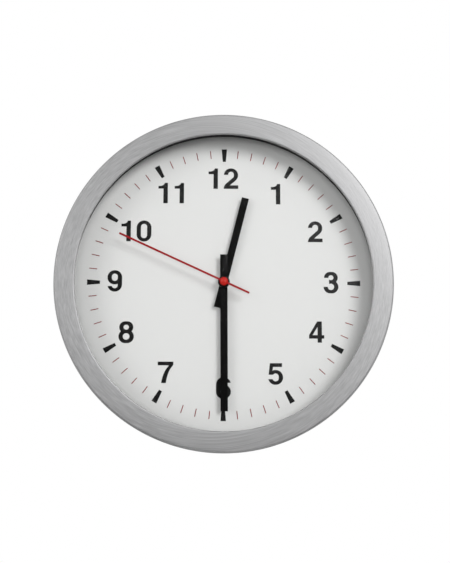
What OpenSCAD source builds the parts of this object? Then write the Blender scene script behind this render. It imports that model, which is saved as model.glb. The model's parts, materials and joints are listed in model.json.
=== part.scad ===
// Round wall clock with a spun metal rim, a glass front and a battery movement.
// Every piece is drawn face up: x to the right, y to twelve o'clock and z towards the viewer,
// with z = 0 on the wall. placed() then stands the clock up, so that it faces -Y with +Z up.

/* [Case] */
// Outer diameter of the rim
case_d = 300; // [280:1:320]
// Thickness of the sheet that the rim is spun from
rim_t = 1.2; // [0.9:0.1:1.4]
// Width of the rim's flat face
face_w = 18.8; // [17:0.1:20]
// Inside radius of the rim's outer bend
corner_bend = 1.4; // [0.6:0.1:2]
// Inside radius of the bend at the rim's inner lip
lip_bend = 0.3; // [0.2:0.1:0.6]
// Depth of the dial's face behind the rim's face
dial_depth = 24; // [22:0.5:30]
// Thickness of the back shell's plastic
shell_t = 2.2; // [1.8:0.1:2.4]
// Gap between the back shell and the rim around it
shell_gap = 0.2; // [0.1:0.05:0.4]
// Step from the rim's lip out to the black ring around the dial
surround_step = 4.4; // [3:0.1:5]
// Width of the inner ring's foot
foot_w = 7.1; // [6.4:0.1:8]
// Number of pegs that hold the inner ring on the back shell
peg_count = 6; // [6:6:12]
// Radius of the pegs
peg_r = 1.5; // [1.2:0.1:1.8]
// Gap around a peg in its hole
peg_gap = 0.1; // [0.05:0.05:0.2]
// How far the pegs stand out behind the back shell
peg_proud = 1; // [0.5:0.1:1.5]
// Height of the ribs behind the dial
rib_h = 5; // [3:0.5:7]
// Thickness of the ribs
rib_t = 1.6; // [1.2:0.1:2]
// Number of ribs behind the dial
rib_count = 12; // [12:12:24]
// Radius of the ring rib
ring_rib_r = 84; // [70:1:90]
// Number of webs between the inner ring's foot and its seat for the glass
web_count = 24; // [12:12:36]
// How far the webs end inside the edge of the seat
web_in = 1; // [0.5:0.1:2]

/* [Glass] */
// Thickness of the glass
lens_t = 2; // [1.5:0.1:2.5]
// How far the glass reaches behind the rim's face
lens_cover = 8.8; // [7.5:0.1:9.5]
// Gap around the edge of the glass
lens_gap = 0.3; // [0.2:0.1:0.5]
// Bevel on the edge of the glass
lens_bevel = 0.3; // [0.2:0.1:0.5]
// Thickness of the foam gasket in front of the glass
gasket_t = 1; // [0.8:0.1:1.4]
// Gap between the lip and the glass, and between the lip and the gasket
lip_gap = 0.2; // [0.15:0.05:0.4]
// Width of the bead that centres the glass
bead_w = 2; // [1.5:0.1:2.5]

/* [Rim screws] */
// Number of screws through the side of the rim
rim_screw_count = 4; // [4:4:12]
// Height of the screws above the wall
rim_screw_z = 6; // [5:0.5:9]
// Radius of the screw's shank
rim_screw_r = 1.3; // [1:0.1:1.5]
// Radius of the countersunk head
rim_screw_head_r = 2.4; // [2.1:0.1:2.8]
// Length of the screw
rim_screw_l = 7; // [5:0.5:8]
// Radius of the boss that takes the screw
rim_boss_r = 3.4; // [3:0.1:4]
// Plastic past the end of the screw
screw_end = 1; // [0.8:0.1:1.4]
// How far the screw's head lies below the rim's surface
head_sunk = 0.05; // [0.02:0.01:0.1]

/* [Dial] */
// Thickness of the dial sheet
dial_t = 0.8; // [0.5:0.1:1]
// Gap between the dial and the surround
dial_gap = 0.3; // [0.2:0.1:0.5]
// Thickness of the printed marks
print_t = 0.08; // [0.05:0.01:0.1]
// Inner radius of the hour marks
hour_mark_in = 111.7; // [105:0.1:113]
// Outer radius of the hour marks
hour_mark_out = 123.4; // [120:0.1:125]
// Width of an hour mark at its inner end
hour_mark_w_in = 2.9; // [2:0.1:3.4]
// Width of an hour mark at its outer end
hour_mark_w_out = 4.9; // [4:0.1:5.6]
// Inner radius of the minute marks
minute_mark_in = 115.1; // [112:0.1:117]
// Outer radius of the minute marks
minute_mark_out = 122.4; // [120:0.1:124]
// Width of a minute mark
minute_mark_w = 0.5; // [0.4:0.05:0.8]
// Height of the numerals
numeral_h = 19; // [16:0.5:21]
// Distance between the middles of a numeral's two digits
numeral_pitch = 14.8; // [13:0.1:16]

/* [Hanger] */
// Distance of the hanger's round hole from the rim's top
hanger_in = 46; // [44:1:52]
// Radius of the round hole that a screw's head goes through
hanger_hole_r = 5; // [4.5:0.1:5.5]
// Width of the slot that the screw hangs in
hanger_slot_w = 4.6; // [4:0.1:5]
// Length of the slot, from the middle of the hole to the middle of its round end
hanger_slot_l = 11; // [9:0.5:12]
// Thickness of the hanger plate
hanger_t = 1.2; // [1:0.1:1.5]
// Radius of the hanger plate's corners
hanger_corner = 3; // [1:0.5:5]
// Gap between the hanger plate and the wall
hanger_lift = 3; // [2.4:0.1:3.4]
// Inside width of the pocket behind the plate
pocket_w = 20; // [18:0.5:22]
// Inside height of the pocket behind the plate
pocket_h = 28; // [27:0.5:30]
// Thickness of the pocket's wall
pocket_wall = 2; // [1.6:0.1:2.4]
// Radius of a hanger screw's shank
hanger_screw_r = 1.3; // [1:0.1:1.5]
// Radius of a hanger screw's head
hanger_head_r = 2.8; // [2.4:0.1:3]
// Height of a hanger screw's head
hanger_head_h = 1.6; // [1.2:0.1:1.8]
// Length of a hanger screw under its head
hanger_screw_l = 9; // [7:0.5:11]
// Width and depth of the crosses in all the screws' heads
cross_w = 0.6; // [0.4:0.05:0.7]
// Play of a screw in the hole of the outer piece
screw_play = 0.15; // [0.1:0.05:0.25]
// Width of the hanger plate outside its screws' heads
hanger_edge = 1; // [0.6:0.1:2]

/* [Hands] */
// Direction of the hour hand, clockwise from twelve
hour_angle = 14.1; // [0:0.1:360]
// Direction of the minute hand, clockwise from twelve
minute_angle = 179.6; // [0:0.1:360]
// Direction of the second hand, clockwise from twelve
second_angle = 294.6; // [0:0.1:360]
// Length of the hour hand from the axis
hour_l = 79.4; // [60:0.1:90]
// Length of the minute hand from the axis
minute_l = 114.6; // [100:0.1:125]
// Length of the second hand from the axis
second_l = 102.9; // [90:0.1:125]
// Length of the hour hand's tail
hour_tail = 23.4; // [15:0.1:35]
// Length of the minute hand's tail
minute_tail = 25; // [15:0.1:35]
// Length of the second hand's tail
second_tail = 24.8; // [15:0.1:40]
// Width of the hour hand
hour_w = 6.5; // [5:0.1:8]
// Width of the minute hand
minute_w = 6.5; // [5:0.1:8]
// Width of the second hand
second_w = 1.8; // [1:0.1:2.4]
// Thickness of the hour and minute hands
hand_t = 0.6; // [0.4:0.1:0.8]
// Thickness of the second hand
second_t = 0.4; // [0.3:0.1:0.6]
// Height of the hour hand above the dial
hour_z = 4.2; // [4:0.1:6]
// Gap between the hour hand and the minute hand
hand_gap = 1.2; // [1:0.1:2]
// Radius of the round boss on the minute hand
boss_r = 5.2; // [4.6:0.1:6]
// Height of the boss
boss_h = 3.6; // [1:0.1:4]
// Gap between the boss and the second hand
second_gap = 2.6; // [0.4:0.1:4]
// Wall of the collets that grip the tubes and the arbor
collet_wall = 1; // [0.8:0.05:1]
// Metal around the hour hand's hole
eye_w = 1; // [0.8:0.1:1.4]
// Metal around the second hand's hole
second_eye_w = 0.6; // [0.4:0.1:0.8]
// How far the minute hand's eye stays inside the boss
eye_in = 0.2; // [0.1:0.1:0.6]
// Length of the hour hand's collet below the hand
collet_l = 0.8; // [0.7:0.1:2.4]
// Width of the flange under the hour hand
collet_flange_w = 0.7; // [0.5:0.1:1]
// Thickness of the flange under the hour hand
collet_flange_t = 0.6; // [0.4:0.1:0.8]
// How far the hour hand's tube stands out of the hand
tube_proud = 0.3; // [0.2:0.1:0.5]
// Radius of the second hand's cap
cap_r = 4; // [3.4:0.05:4.5]
// Height of the cap
cap_h = 1.8; // [1.4:0.1:2.4]

/* [Arbors] */
// Radius of the second hand's steel arbor
second_r = 0.75; // [0.6:0.05:0.8]
// Running gap between an arbor and its hole, on the radius
run_gap = 0.05; // [0.03:0.01:0.08]
// Wall of the minute hand's tube
minute_wall = 0.8; // [0.7:0.05:0.85]
// Wall of the hour hand's tube
hour_wall = 0.95; // [0.8:0.05:1]
// Outer radius of the threaded bush
bush_r = 4; // [3.8:0.1:4.4]
// Height of the threaded bush above the dial
bush_proud = 3.1; // [3:0.1:5]
// Thickness of the bush's collar inside the movement's cover
bush_collar = 0.8; // [0.6:0.1:0.9]
// Width of the bush's collar
collar_w = 1.2; // [0.8:0.1:1.4]
// Thickness of the nut on the bush
nut_t = 2.4; // [2:0.1:2.8]
// Width of the nut across its flats
nut_af = 12; // [11:0.5:13]
// Thickness of the metal washer
washer_t = 0.5; // [0.4:0.1:0.8]
// Radius of the metal washer
washer_r = 7; // [6.8:0.1:9]
// Thickness of the rubber washer
rubber_t = 1; // [0.8:0.1:1.4]
// Radius of the rubber washer
rubber_r = 12; // [9:0.5:14]
// Gap of the dial, the shell and the washers around the bush
bush_gap = 0.3; // [0.2:0.1:0.5]

/* [Movement case] */
// Thickness of the movement's side walls
mv_wall = 1.6; // [1.4:0.1:1.8]
// Thickness of its back
mv_back = 1.4; // [1.2:0.1:1.5]
// Thickness of its cover
mv_cover = 1.4; // [1.2:0.1:1.5]
// Radius of its corners
mv_corner = 3; // [2:0.5:4]
// Gap between the movement and the ribs that keep it from turning
mv_gap = 0.3; // [0.2:0.1:0.5]
// Radius of a battery of the common pen size
cell_r = 7.1; // [6.9:0.05:7.2]
// Length of the battery without its button
cell_l = 49.3; // [48.5:0.1:49.5]
// Length of the battery's button
button_l = 1.2; // [1:0.1:1.4]
// Radius of the battery's button
button_r = 2.7; // [2.4:0.1:2.8]
// Gap around the battery in its bay
cell_gap = 0.3; // [0.2:0.05:0.4]
// Radius of the battery's rounded edges
cell_round = 0.5; // [0.3:0.1:0.8]
// Thickness of the battery's plastic sleeve
sleeve_t = 0.1; // [0.08:0.01:0.15]
// How far the sleeve covers the ends of the can
sleeve_over = 1.2; // [0.8:0.1:1.6]
// Gap between the battery and the wall that the clock hangs on
cell_lift = 1.1; // [0.9:0.1:2]
// Thickness of the wall between the battery and the wheels
bay_wall = 1; // [0.8:0.1:1.2]
// Gap between the centre wheel and the battery bay's wall
bay_room = 1.58; // [1.4:0.01:2]
// Thickness of the contact strips
contact_t = 0.4; // [0.3:0.05:0.4]
// Gap between a contact and the piece beside it
contact_gap = 0.1; // [0.05:0.05:0.15]
// Length of the bent leaf at the battery's flat end
leaf_l = 1.7; // [1.5:0.1:2.2]
// Height of the cut inside the bent leaf's foot
leaf_foot = 1; // [0.6:0.1:1.2]
// Width of the tabs that the strips lay on the circuit board
tab_w = 2; // [1.6:0.1:2.4]
// Distance of the negative tab from the board's left edge
tab_in = 1; // [0.6:0.1:1.4]
// Thickness of the guides that hold the contact plates
guide_t = 0.9; // [0.7:0.1:1]
// Width of the contact plates at the battery's ends
contact_w = 8; // [7.8:0.1:8.4]
// Width of the bent leaf at the battery's flat end
leaf_w = 6; // [4:0.5:6]
// Height of the strips that run from the contacts to the circuit board
strip_h = 2; // [1.4:0.1:2.2]
// How far the bay's bumps reach past the battery's side
bump_over = 0.6; // [0.3:0.1:0.7]
// Length of the bumps
bump_l = 8; // [5:1:12]
// Thickness of the bumps
bump_t = 1; // [0.8:0.1:1.4]
// Width of the cover's snap tabs
snap_w = 6; // [5:0.5:8]
// Thickness of the snap tabs
snap_t = 0.8; // [0.6:0.1:0.8]
// Length of the snap tabs
snap_l = 5; // [4.8:0.1:6]
// Gap around the snap tabs
snap_gap = 0.2; // [0.1:0.05:0.3]
// Height of the catch that holds a snap tab
catch_h = 1.2; // [0.8:0.1:1.6]
// Height of the catch above the tab's end
catch_in = 1; // [0.8:0.1:1.4]

/* [Wheels] */
// Pressure angle of the teeth
pressure = 20; // [20:1:22]
// Profile shift of the pinions, in modules
shift = 0.2; // [0.1:0.05:0.25]
// Backlash of each pair on its pitch circles
backlash = 0.05; // [0.04:0.01:0.06]
// Thickness of a wheel
wheel_t = 0.8; // [0.7:0.05:0.9]
// Largest radius of the lightening holes in a wheel
wheel_hole_r = 1.6; // [1:0.1:1.8]
// Plastic left around a lightening hole
wheel_land = 0.5; // [0.4:0.1:0.8]
// Wall of a wheel's hub
hub_wall = 0.8; // [0.6:0.1:0.9]
// How far the centre wheel's hub stands out of it
hub_over = 0.5; // [0.3:0.1:0.7]
// How far a pinion reaches past the wheel that it drives
pinion_over = 0.3; // [0.2:0.1:0.4]
// Play of the arbors along their axes
end_play = 0.2; // [0.1:0.05:0.3]
// Gap between the movement's back and the second wheel
back_gap = 1; // [0.9:0.1:1.2]
// Gap between the second wheel and the third wheel
low_gap = 0.8; // [0.7:0.1:1]
// Gap between the third wheel and the centre wheel
centre_gap = 1.2; // [1.1:0.1:1.4]
// Gap between the centre wheel and the plate in front of it
plate_gap = 1; // [0.9:0.1:1.2]
// Gap between the plate and the motion wheel
motion_gap = 0.8; // [0.7:0.1:1]
// Gap between the motion wheel and the hour wheel
hour_gap = 1; // [0.9:0.1:1.2]
// How far the minute hand's tube reaches behind the centre wheel
tube_under = 0.5; // [0.3:0.1:0.7]
// Distance from the hand axis to the third wheel
third_dist = 9.9; // [9.7:0.05:10]
// Module of the intermediate pinion and the second wheel
second_m = 0.28; // [0.279:0.001:0.283]
// Module of the rotor pinion and the intermediate wheel
rotor_m = 0.22; // [0.21:0.005:0.225]
// Module of the motion work
motion_m = 0.3; // [0.29:0.005:0.305]
// Teeth of the rotor pinion
rotor_teeth = 10; // [10:1:10]
// Teeth of the intermediate wheel
inter_teeth = 60; // [60:1:60]
// Teeth of the intermediate pinion
inter_pinion = 12; // [12:1:12]
// Teeth of the second wheel
second_teeth = 60; // [60:1:60]
// Teeth of the second pinion
second_pinion = 8; // [8:1:8]
// Teeth of the third wheel
third_teeth = 60; // [60:1:60]
// Teeth of the third pinion
third_pinion = 8; // [8:1:8]
// Teeth of the centre wheel
centre_teeth = 64; // [64:1:64]
// Teeth of the cannon pinion
cannon_teeth = 15; // [15:1:15]
// Teeth of the motion wheel
motion_teeth = 45; // [45:1:45]
// Teeth of the motion pinion
motion_pinion = 12; // [12:1:12]
// Teeth of the hour wheel
hour_teeth = 48; // [48:1:48]
// Teeth of the setting pinion
setting_teeth = 15; // [15:1:15]
// Radius of the pivots
pivot_r = 0.4; // [0.3:0.05:0.5]
// Depth of the pivots in the movement's back
pivot_l = 0.8; // [0.6:0.1:0.9]
// Height of the ring around each pivot hole in the back
pivot_ring_h = 0.3; // [0.2:0.1:0.4]
// Wall of the ring around each pivot hole
pivot_wall = 0.8; // [0.6:0.1:1]
// Radius of the post that the motion wheel turns on
post_r = 0.8; // [0.7:0.05:0.9]
// How far the post stands out of the hour wheel's height
post_over = 0.8; // [0.4:0.1:1]
// Thickness of the plate between the motor and the motion work
plate_t = 1; // [0.9:0.1:1.2]
// Gap between the plate and the walls around it
edge_gap = 0.2; // [0.1:0.05:0.3]
// Height of the upper pillars above the hand axis
pillar_y = 13; // [12.5:0.1:13.5]
// Gap between a pillar and the walls next to it
pillar_gap = 0.4; // [0.2:0.1:0.5]
// Radius of the corner pillars
pillar_r = 1.8; // [1.6:0.1:2]
// Radius of the screws in the pillars
plate_screw_r = 0.7; // [0.6:0.05:0.8]
// Length of the screws in the pillars
plate_screw_l = 4.5; // [3.5:0.5:5]
// Radius of the setting arbor
setting_r = 1; // [0.9:0.05:1.2]
// How far the setting arbor stands out in front of its pinion
setting_over = 1; // [0.6:0.1:1.2]
// Radius of the setting knob
knob_r = 4.4; // [4:0.1:4.5]
// Thickness of the setting knob
knob_t = 1.3; // [1.1:0.1:1.5]
// Gap between the knob and the movement's back
knob_gap = 0.2; // [0.1:0.05:0.3]
// Thickness of the knob's face outside the arbor
knob_face = 0.4; // [0.3:0.1:0.6]
// Number of grooves around the knob
knurl_count = 24; // [18:1:26]
// Radius of the grooves
knurl_r = 0.4; // [0.3:0.05:0.45]

/* [Motor and circuit] */
// Radius of the rotor's magnet
magnet_r = 2.6; // [2.3:0.1:2.8]
// Thickness of the rotor's magnet
magnet_t = 1.8; // [1.6:0.1:1.9]
// Radius of the rotor's hub
rotor_hub_r = 0.7; // [0.6:0.05:0.8]
// Air gap between the magnet and the stator
air_gap = 0.4; // [0.3:0.05:0.5]
// Thickness of the stator and the coil's core
iron_t = 0.8; // [0.7:0.05:0.9]
// Distance between the middles of the core's two ends
core_l = 33; // [32:0.5:34]
// Width of the core
core_w = 3; // [2.6:0.1:3.2]
// Length of the winding
winding_l = 21; // [19:0.5:22]
// Outer radius of the winding
winding_r = 3.8; // [3.4:0.1:4]
// Radius of the bobbin's flanges
flange_r = 4.2; // [4.1:0.05:4.3]
// Thickness of the bobbin's flanges
flange_t = 0.8; // [0.6:0.1:1]
// Plastic between the core's edge and the winding
bobbin_wall = 0.7; // [0.5:0.1:0.8]
// Gap between the bobbin and the movement's top wall
coil_gap = 0.7; // [0.5:0.1:1]
// Length of the bobbin's terminal ledge
ledge_l = 3; // [2.6:0.1:3.4]
// Height of the bobbin's terminal ledge
ledge_h = 2; // [1.8:0.1:2.4]
// Distance of the ledge's middle below the coil's axis
ledge_down = 1.9; // [1.7:0.1:2]
// Gap between the ledge and the core
ledge_gap = 0.3; // [0.2:0.1:0.5]
// Thickness of the circuit board
board_t = 0.8; // [0.7:0.1:1]
// Width of the circuit board
board_w = 15; // [14:0.5:15.5]
// Height of the circuit board
board_h = 16; // [14:0.5:17]
// Gap between the circuit board and the battery bay's wall
board_low = 0.6; // [0.4:0.1:0.8]
// How far the board reaches left of the bobbin's ledge
board_left = 0.5; // [0.3:0.1:1]
// Gap between the plate and the circuit board
board_lift = 1.6; // [1.4:0.1:1.8]
// Gap between the contact strips and the cover
strip_gap = 0.4; // [0.3:0.05:0.6]
// Radius of the bosses under the board
board_boss_r = 1.2; // [1:0.1:1.3]
// Radius of the pins through the board
board_pin_r = 0.6; // [0.5:0.05:0.7]
// How far the pins stand out of the board
board_pin_over = 0.5; // [0.3:0.1:0.8]
// Radius of the crystal's can
crystal_r = 1; // [0.9:0.05:1]
// Length of the crystal's can
crystal_l = 6.2; // [5:0.1:7]
// Radius of the resin blob over the chip
blob_r = 2.8; // [2:0.1:3]
// Height of the resin blob
blob_h = 1; // [0.7:0.1:1.3]
// Radius of the coil's two wire ends
wire_r = 0.15; // [0.1:0.01:0.2]
// Width of the stator's iron
iron_w = 4; // [3.6:0.1:4.2]
// Radius of the stakes that hold the stator and the core
stake_r = 1; // [0.8:0.05:1.1]
// How far the stakes stand out of the core
stake_over = 0.6; // [0.4:0.1:0.8]
// Distance of the stator's bridge above the rotor's axis
bridge_up = 3; // [2.8:0.1:3.2]

/* [Hidden] */
$fn = 96;

// How far pieces of one solid overlap, and cuts pass the faces that they open
eps = 0.01;
// How far other cuts start outside a piece
past = 1;

// Case, from the outside in
dial_height = cell_lift + 2*cell_r + cell_gap + mv_cover + rubber_t + shell_t + dial_t;
case_depth = dial_height + dial_depth;
case_r = case_d/2;
open_r = case_r - face_w;
corner_r = corner_bend + rim_t;
lip_r = lip_bend + rim_t;
face_in_z = case_depth - rim_t;
lens_top = face_in_z - gasket_t;
lens_z = lens_top - lens_t;
lens_r = open_r + lens_cover;
lip_z = lens_top + lip_gap;
surround_r = open_r + surround_step;
surround_out = surround_r + shell_t;
seat_z = lens_z - shell_t;
peg_at = (surround_out + surround_r + foot_w)/2;
skirt_r = case_r - rim_t - shell_gap;
dial_z = dial_height - dial_t;
floor_z = dial_z - shell_t;
bush_hole = bush_r + bush_gap;

// Numerals: the strokes of a digit 19 high and the outside of its widest bowls, the scale, and the
// middles of the twelve numbers
stroke_w = 3.9;
stroke_h = 3.1;
bowl_w = 13.4;
bowl_h = 19.4;
numeral_k = numeral_h/19;
numeral_at = [
    [48.5, 81.8], [83, 47.1], [96.9, 0.6], [83.6, -44.1], [46.6, -81.6], [0.1, -94.3],
    [-51.7, -80.6], [-87.3, -45], [-98.4, 1.2], [-80.1, 47], [-46.9, 82.3], [-1.2, 96]
];

// Hanger, with the keyhole in the middle of the pocket
hanger_y = case_r - hanger_in;
hanger_top = hanger_lift + hanger_t;
pocket_y = hanger_y + (hanger_slot_l + hanger_slot_w/2 - hanger_hole_r)/2;
hanger_screw_x = pocket_w/2 + pocket_wall + hanger_head_r;
hanger_boss_r = hanger_screw_r + pocket_wall;
hanger_w = 2*(hanger_screw_x + hanger_head_r + hanger_edge);

// Hands, as heights above the wall
hour_hand_z = dial_height + hour_z;
minute_hand_z = hour_hand_z + hand_t + hand_gap;
boss_z = minute_hand_z + hand_t;
second_hand_z = boss_z + boss_h + second_gap;
cap_z = second_hand_z + second_t;

// Tubes and arbors on the hand axis, from the inside out
minute_in = second_r + run_gap;
minute_r = minute_in + minute_wall;
hour_in = minute_r + run_gap;
hour_r = hour_in + hour_wall;
bush_in = hour_r + run_gap;
bush_top = dial_height + bush_proud;
hour_tube_top = hour_hand_z + hand_t + tube_proud;
minute_tube_top = boss_z + boss_h;
arbor_top = cap_z + cap_h/2;

// Distances between the arbors, with the modules that follow from them
third_m = 2*third_dist/(second_pinion + third_teeth);
centre_m = 2*third_dist/(third_pinion + centre_teeth);
inter_dist = second_m*(inter_pinion + second_teeth)/2;
rotor_dist = rotor_m*(rotor_teeth + inter_teeth)/2;
motion_dist = motion_m*(cannon_teeth + motion_teeth)/2;
setting_dist = motion_m*(setting_teeth + motion_teeth)/2;

// Movement: a square as wide as the battery with its contacts, and at least as high as the
// battery and the wheels above it
bay_top = -(centre_m*(centre_teeth/2 + 1 - shift) + bay_room + bay_wall);
mv_in = max((cell_l + button_l + leaf_l + contact_t)/2 + contact_gap,
    2*(cell_r + cell_gap) - bay_top);
mv_w = 2*(mv_in + mv_wall);
rib_in = mv_w/2 + mv_gap + rib_t;

// Heights of the wheels and of the board above the movement's back, then above the wall
second_up = back_gap;
low_up = second_up + wheel_t + low_gap;
centre_up = low_up + wheel_t + centre_gap;
plate_up = centre_up + wheel_t + plate_gap;
board_up = plate_up + plate_t + board_lift;
strip_up = board_up + board_t;
mv_t = mv_back + strip_up + strip_h + strip_gap + mv_cover;
mv_top = floor_z - rubber_t;
mv_z = mv_top - mv_t;
in_z = mv_z + mv_back;
cover_z = mv_top - mv_cover;
shoulder_z = in_z + pivot_ring_h + end_play;
second_z = in_z + second_up;
low_z = in_z + low_up;
centre_z = in_z + centre_up;
plate_z = in_z + plate_up;
plate_top = plate_z + plate_t;
motion_z = plate_top + motion_gap;
hour_wheel_z = motion_z + wheel_t + hour_gap;
stator_z = centre_z;
core_z = stator_z + iron_t;
board_z = in_z + board_up;
board_top = board_z + board_t;
strip_z = board_top;
strip_top = strip_z + strip_h;

// Battery across the bottom of the movement, in the middle of its bay
cell_y = (bay_top - mv_in)/2;
cell_z = cover_z - cell_gap - cell_r;
cell_end = mv_in - contact_t - contact_gap - button_l;
bump_h = bay_top - cell_y - cell_r + bump_over;

// Directions of the arbors, anticlockwise from three o'clock
third_dir = 165;
inter_dir = 30;
rotor_dir = 40;
motion_dir = 200;
setting_dir = 200;
third_at = polar(third_dist, third_dir);
inter_at = polar(inter_dist, inter_dir);
rotor_at = inter_at + polar(rotor_dist, rotor_dir);
motion_at = polar(motion_dist, motion_dir);
setting_at = motion_at + polar(setting_dist, setting_dir);

// Turn of each toothed ring, so that every pair is in mesh at rest
third_turn = meshed(third_dir, 0, second_pinion, third_teeth);
centre_turn = meshed(third_dir + 180, 0, third_pinion, centre_teeth);
second_turn = meshed(inter_dir + 180, 0, inter_pinion, second_teeth);
rotor_turn = meshed(rotor_dir, 0, inter_teeth, rotor_teeth);
motion_turn = meshed(motion_dir, 0, cannon_teeth, motion_teeth);
hour_turn = meshed(motion_dir + 180, 0, motion_pinion, hour_teeth);
setting_turn = meshed(setting_dir, motion_turn, motion_teeth, setting_teeth);

// Knob at the back, and the catches of the cover's snap tabs
knob_z = mv_z - knob_gap - knob_t;
catch_z = cover_z - snap_l + catch_in;

// Pillars in the corners, the coil above the wheels, and the board to their right
pillar_x = mv_in - pillar_r - pillar_gap;
pillar_low = bay_top + bay_wall + pillar_r + pillar_gap;
pillars = [[-pillar_x, pillar_low], [pillar_x, pillar_low], [-pillar_x, pillar_y], [pillar_x, pillar_y]];
plate_y = pillar_y + pillar_r + edge_gap;
coil_y = mv_in - coil_gap - flange_r;
bridge_y = rotor_at[1] + bridge_up;
bobbin_r = core_w/2 + bobbin_wall;
ledge_x = winding_l/2 + flange_t/2;
board_at = [ledge_x - board_left, bay_top + bay_wall + board_low];

// Bosses under the board, from its lower left corner; the first and the last have a pin
boss_x = 2.5;
boss_low = 3.5;
boss_high = board_h - 2;
board_bosses = [[boss_x, boss_low], [board_w - 2*boss_x, boss_low], [boss_x, boss_high],
    [board_w - boss_x, boss_high]];

// Chip and crystal, from the board's lower left corner
chip_at = [board_w/2 - 1, board_h/2];
crystal_at = [board_w - 2.5, board_h - 5];

// Depth of a tooth below its pitch circle, in modules
dedendum = 1.25;

function polar(r, a) = [r*cos(a), r*sin(a)];

// Turn of gear b that puts a gap of b where a tooth of a, turned by turn_a, crosses the line
// between them. dir is the direction from a to b.
function meshed(dir, turn_a, teeth_a, teeth_b) =
    dir + 180 - 180/teeth_b + (dir - turn_a)*teeth_a/teeth_b;

// Involute function, in degrees
function inv(a) = tan(a)*180/PI - a;

// Half of a tooth's angle at radius r
function half_tooth(teeth, m, x, r) =
    (90 + 2*x*tan(pressure)*180/PI)/teeth + inv(pressure) - backlash/(m*teeth)*180/PI
    - inv(acos(min(1, m*teeth/2*cos(pressure)/r)));

// One side of a tooth, from its root to its tip, as [radius, angle from the middle]
function flank(teeth, m, x) =
    let (base_r = m*teeth/2*cos(pressure), tip_r = m*(teeth/2 + 1 + x),
         root_r = m*(teeth/2 - dedendum + x), from_r = max(base_r, root_r))
    concat(
        root_r < from_r ? [[root_r, half_tooth(teeth, m, x, from_r)]] : [],
        [for (i = [0:3]) let (r = from_r + (tip_r - from_r)*i/3) [r, half_tooth(teeth, m, x, r)]]);

// Outline of a toothed ring with involute flanks
module teeth_2d(teeth, m, x, turn = 0) {
    side = flank(teeth, m, x);
    n = len(side);
    polygon([for (k = [0:teeth - 1]) for (i = [0:2*n - 1])
        let (p = side[i < n ? i : 2*n - 1 - i], a = turn + 360*k/teeth + (i < n ? -p[1] : p[1]))
        polar(p[0], a)]);
}

// Moulded wheel with three lightening holes
module wheel(teeth, m, turn, hub_r) {
    root_r = m*(teeth/2 - dedendum - shift);
    hole_r = min(wheel_hole_r, (root_r - hub_r)/2 - wheel_land);
    linear_extrude(wheel_t) difference() {
        teeth_2d(teeth, m, -shift, turn);
        for (a = [0, 120, 240]) rotate(a + turn) translate([(root_r + hub_r)/2, 0]) circle(hole_r);
    }
}

// Tip radius of a pinion
function pinion_tip(teeth, m) = m*(teeth/2 + 1 + shift);

module pinion(teeth, m, turn, h) {
    linear_extrude(h) teeth_2d(teeth, m, shift, turn);
}

// Thin arbor with its two pivots, in the movement's back and in the plate
module pivots() {
    translate([0, 0, in_z - pivot_l]) cylinder(r = pivot_r, h = plate_top - end_play - in_z + pivot_l);
}

// Stands the clock up with its middle at the origin
module placed() {
    translate([0, case_depth/2, 0]) rotate([90, 0, 0]) children();
}

module tube(r_out, r_in, h) {
    difference() {
        cylinder(r = r_out, h = h);
        translate([0, 0, -eps]) cylinder(r = r_in, h = h + 2*eps);
    }
}

// Cross for a screwdriver, cut depth deep into a head of radius r whose face is at z = 0
module cross_cut(r, depth) {
    for (a = [0, 90]) rotate(a) translate([-r, -cross_w/2, -past]) cube([2*r, cross_w, past + depth]);
}

// Plate w by h with rounded corners, centred
module rounded_2d(w, h, r) {
    square([w - 2*r, h], center = true);
    square([w, h - 2*r], center = true);
    for (sx = [-1, 1]) for (sy = [-1, 1]) translate([sx*(w/2 - r), sy*(h/2 - r)]) circle(r);
}

// Band from r0 to r1 up to height z, with its two upper corners rounded by ra and rb
module band_2d(r0, r1, z, ra, rb) {
    top = max(ra, rb);
    translate([r0, 0]) square([r1 - r0, z - top]);
    translate([r0 + ra, 0]) square([r1 - r0 - ra - rb, z]);
    translate([r0, 0]) square([ra + eps, z - ra]);
    translate([r1 - rb - eps, 0]) square([rb + eps, z - rb]);
    translate([r0 + ra, z - ra]) circle(ra);
    translate([r1 - rb, z - rb]) circle(rb);
}

// Calls its children once for each rim screw, with x pointing inwards from the rim's surface
module at_rim_screws() {
    for (i = [0:rim_screw_count - 1])
        rotate(45 + 360*i/rim_screw_count) translate([case_r, 0, rim_screw_z]) rotate([0, -90, 0])
            children();
}

module rim() {
    hole_r = rim_screw_r + screw_play;
    above = 10*eps;
    placed() color("silver") difference() {
        rotate_extrude() difference() {
            band_2d(open_r, case_r, case_depth, lip_r, corner_r);
            translate([0, -eps]) band_2d(open_r + rim_t, case_r - rim_t, face_in_z + eps, lip_bend,
                corner_bend);
            translate([open_r - past, -eps]) square([rim_t + past + lip_bend, lip_z + eps]);
        }
        at_rim_screws() {
            translate([0, 0, -eps]) cylinder(r = hole_r, h = 3*rim_t);
            translate([0, 0, -above])
                cylinder(r1 = rim_screw_head_r + screw_play + above, r2 = hole_r, h = rim_t + above);
        }
    }
}

// Countersunk screws, set just below the rim's surface
module rim_screws() {
    placed() color("gainsboro") at_rim_screws() difference() {
        union() {
            translate([0, 0, head_sunk])
                cylinder(r1 = rim_screw_head_r, r2 = rim_screw_r, h = rim_t - screw_play);
            translate([0, 0, rim_t/2]) cylinder(r = rim_screw_r, h = rim_screw_l - rim_t/2);
        }
        translate([0, 0, head_sunk]) cross_cut(rim_screw_r, cross_w);
    }
}

module lens() {
    placed() color("lightcyan", 0.3) translate([0, 0, lens_z]) rotate_extrude() polygon([
        [0, 0], [lens_r - lens_bevel, 0], [lens_r, lens_bevel], [lens_r, lens_t - lens_bevel],
        [lens_r - lens_bevel, lens_t], [0, lens_t]]);
}

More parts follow.
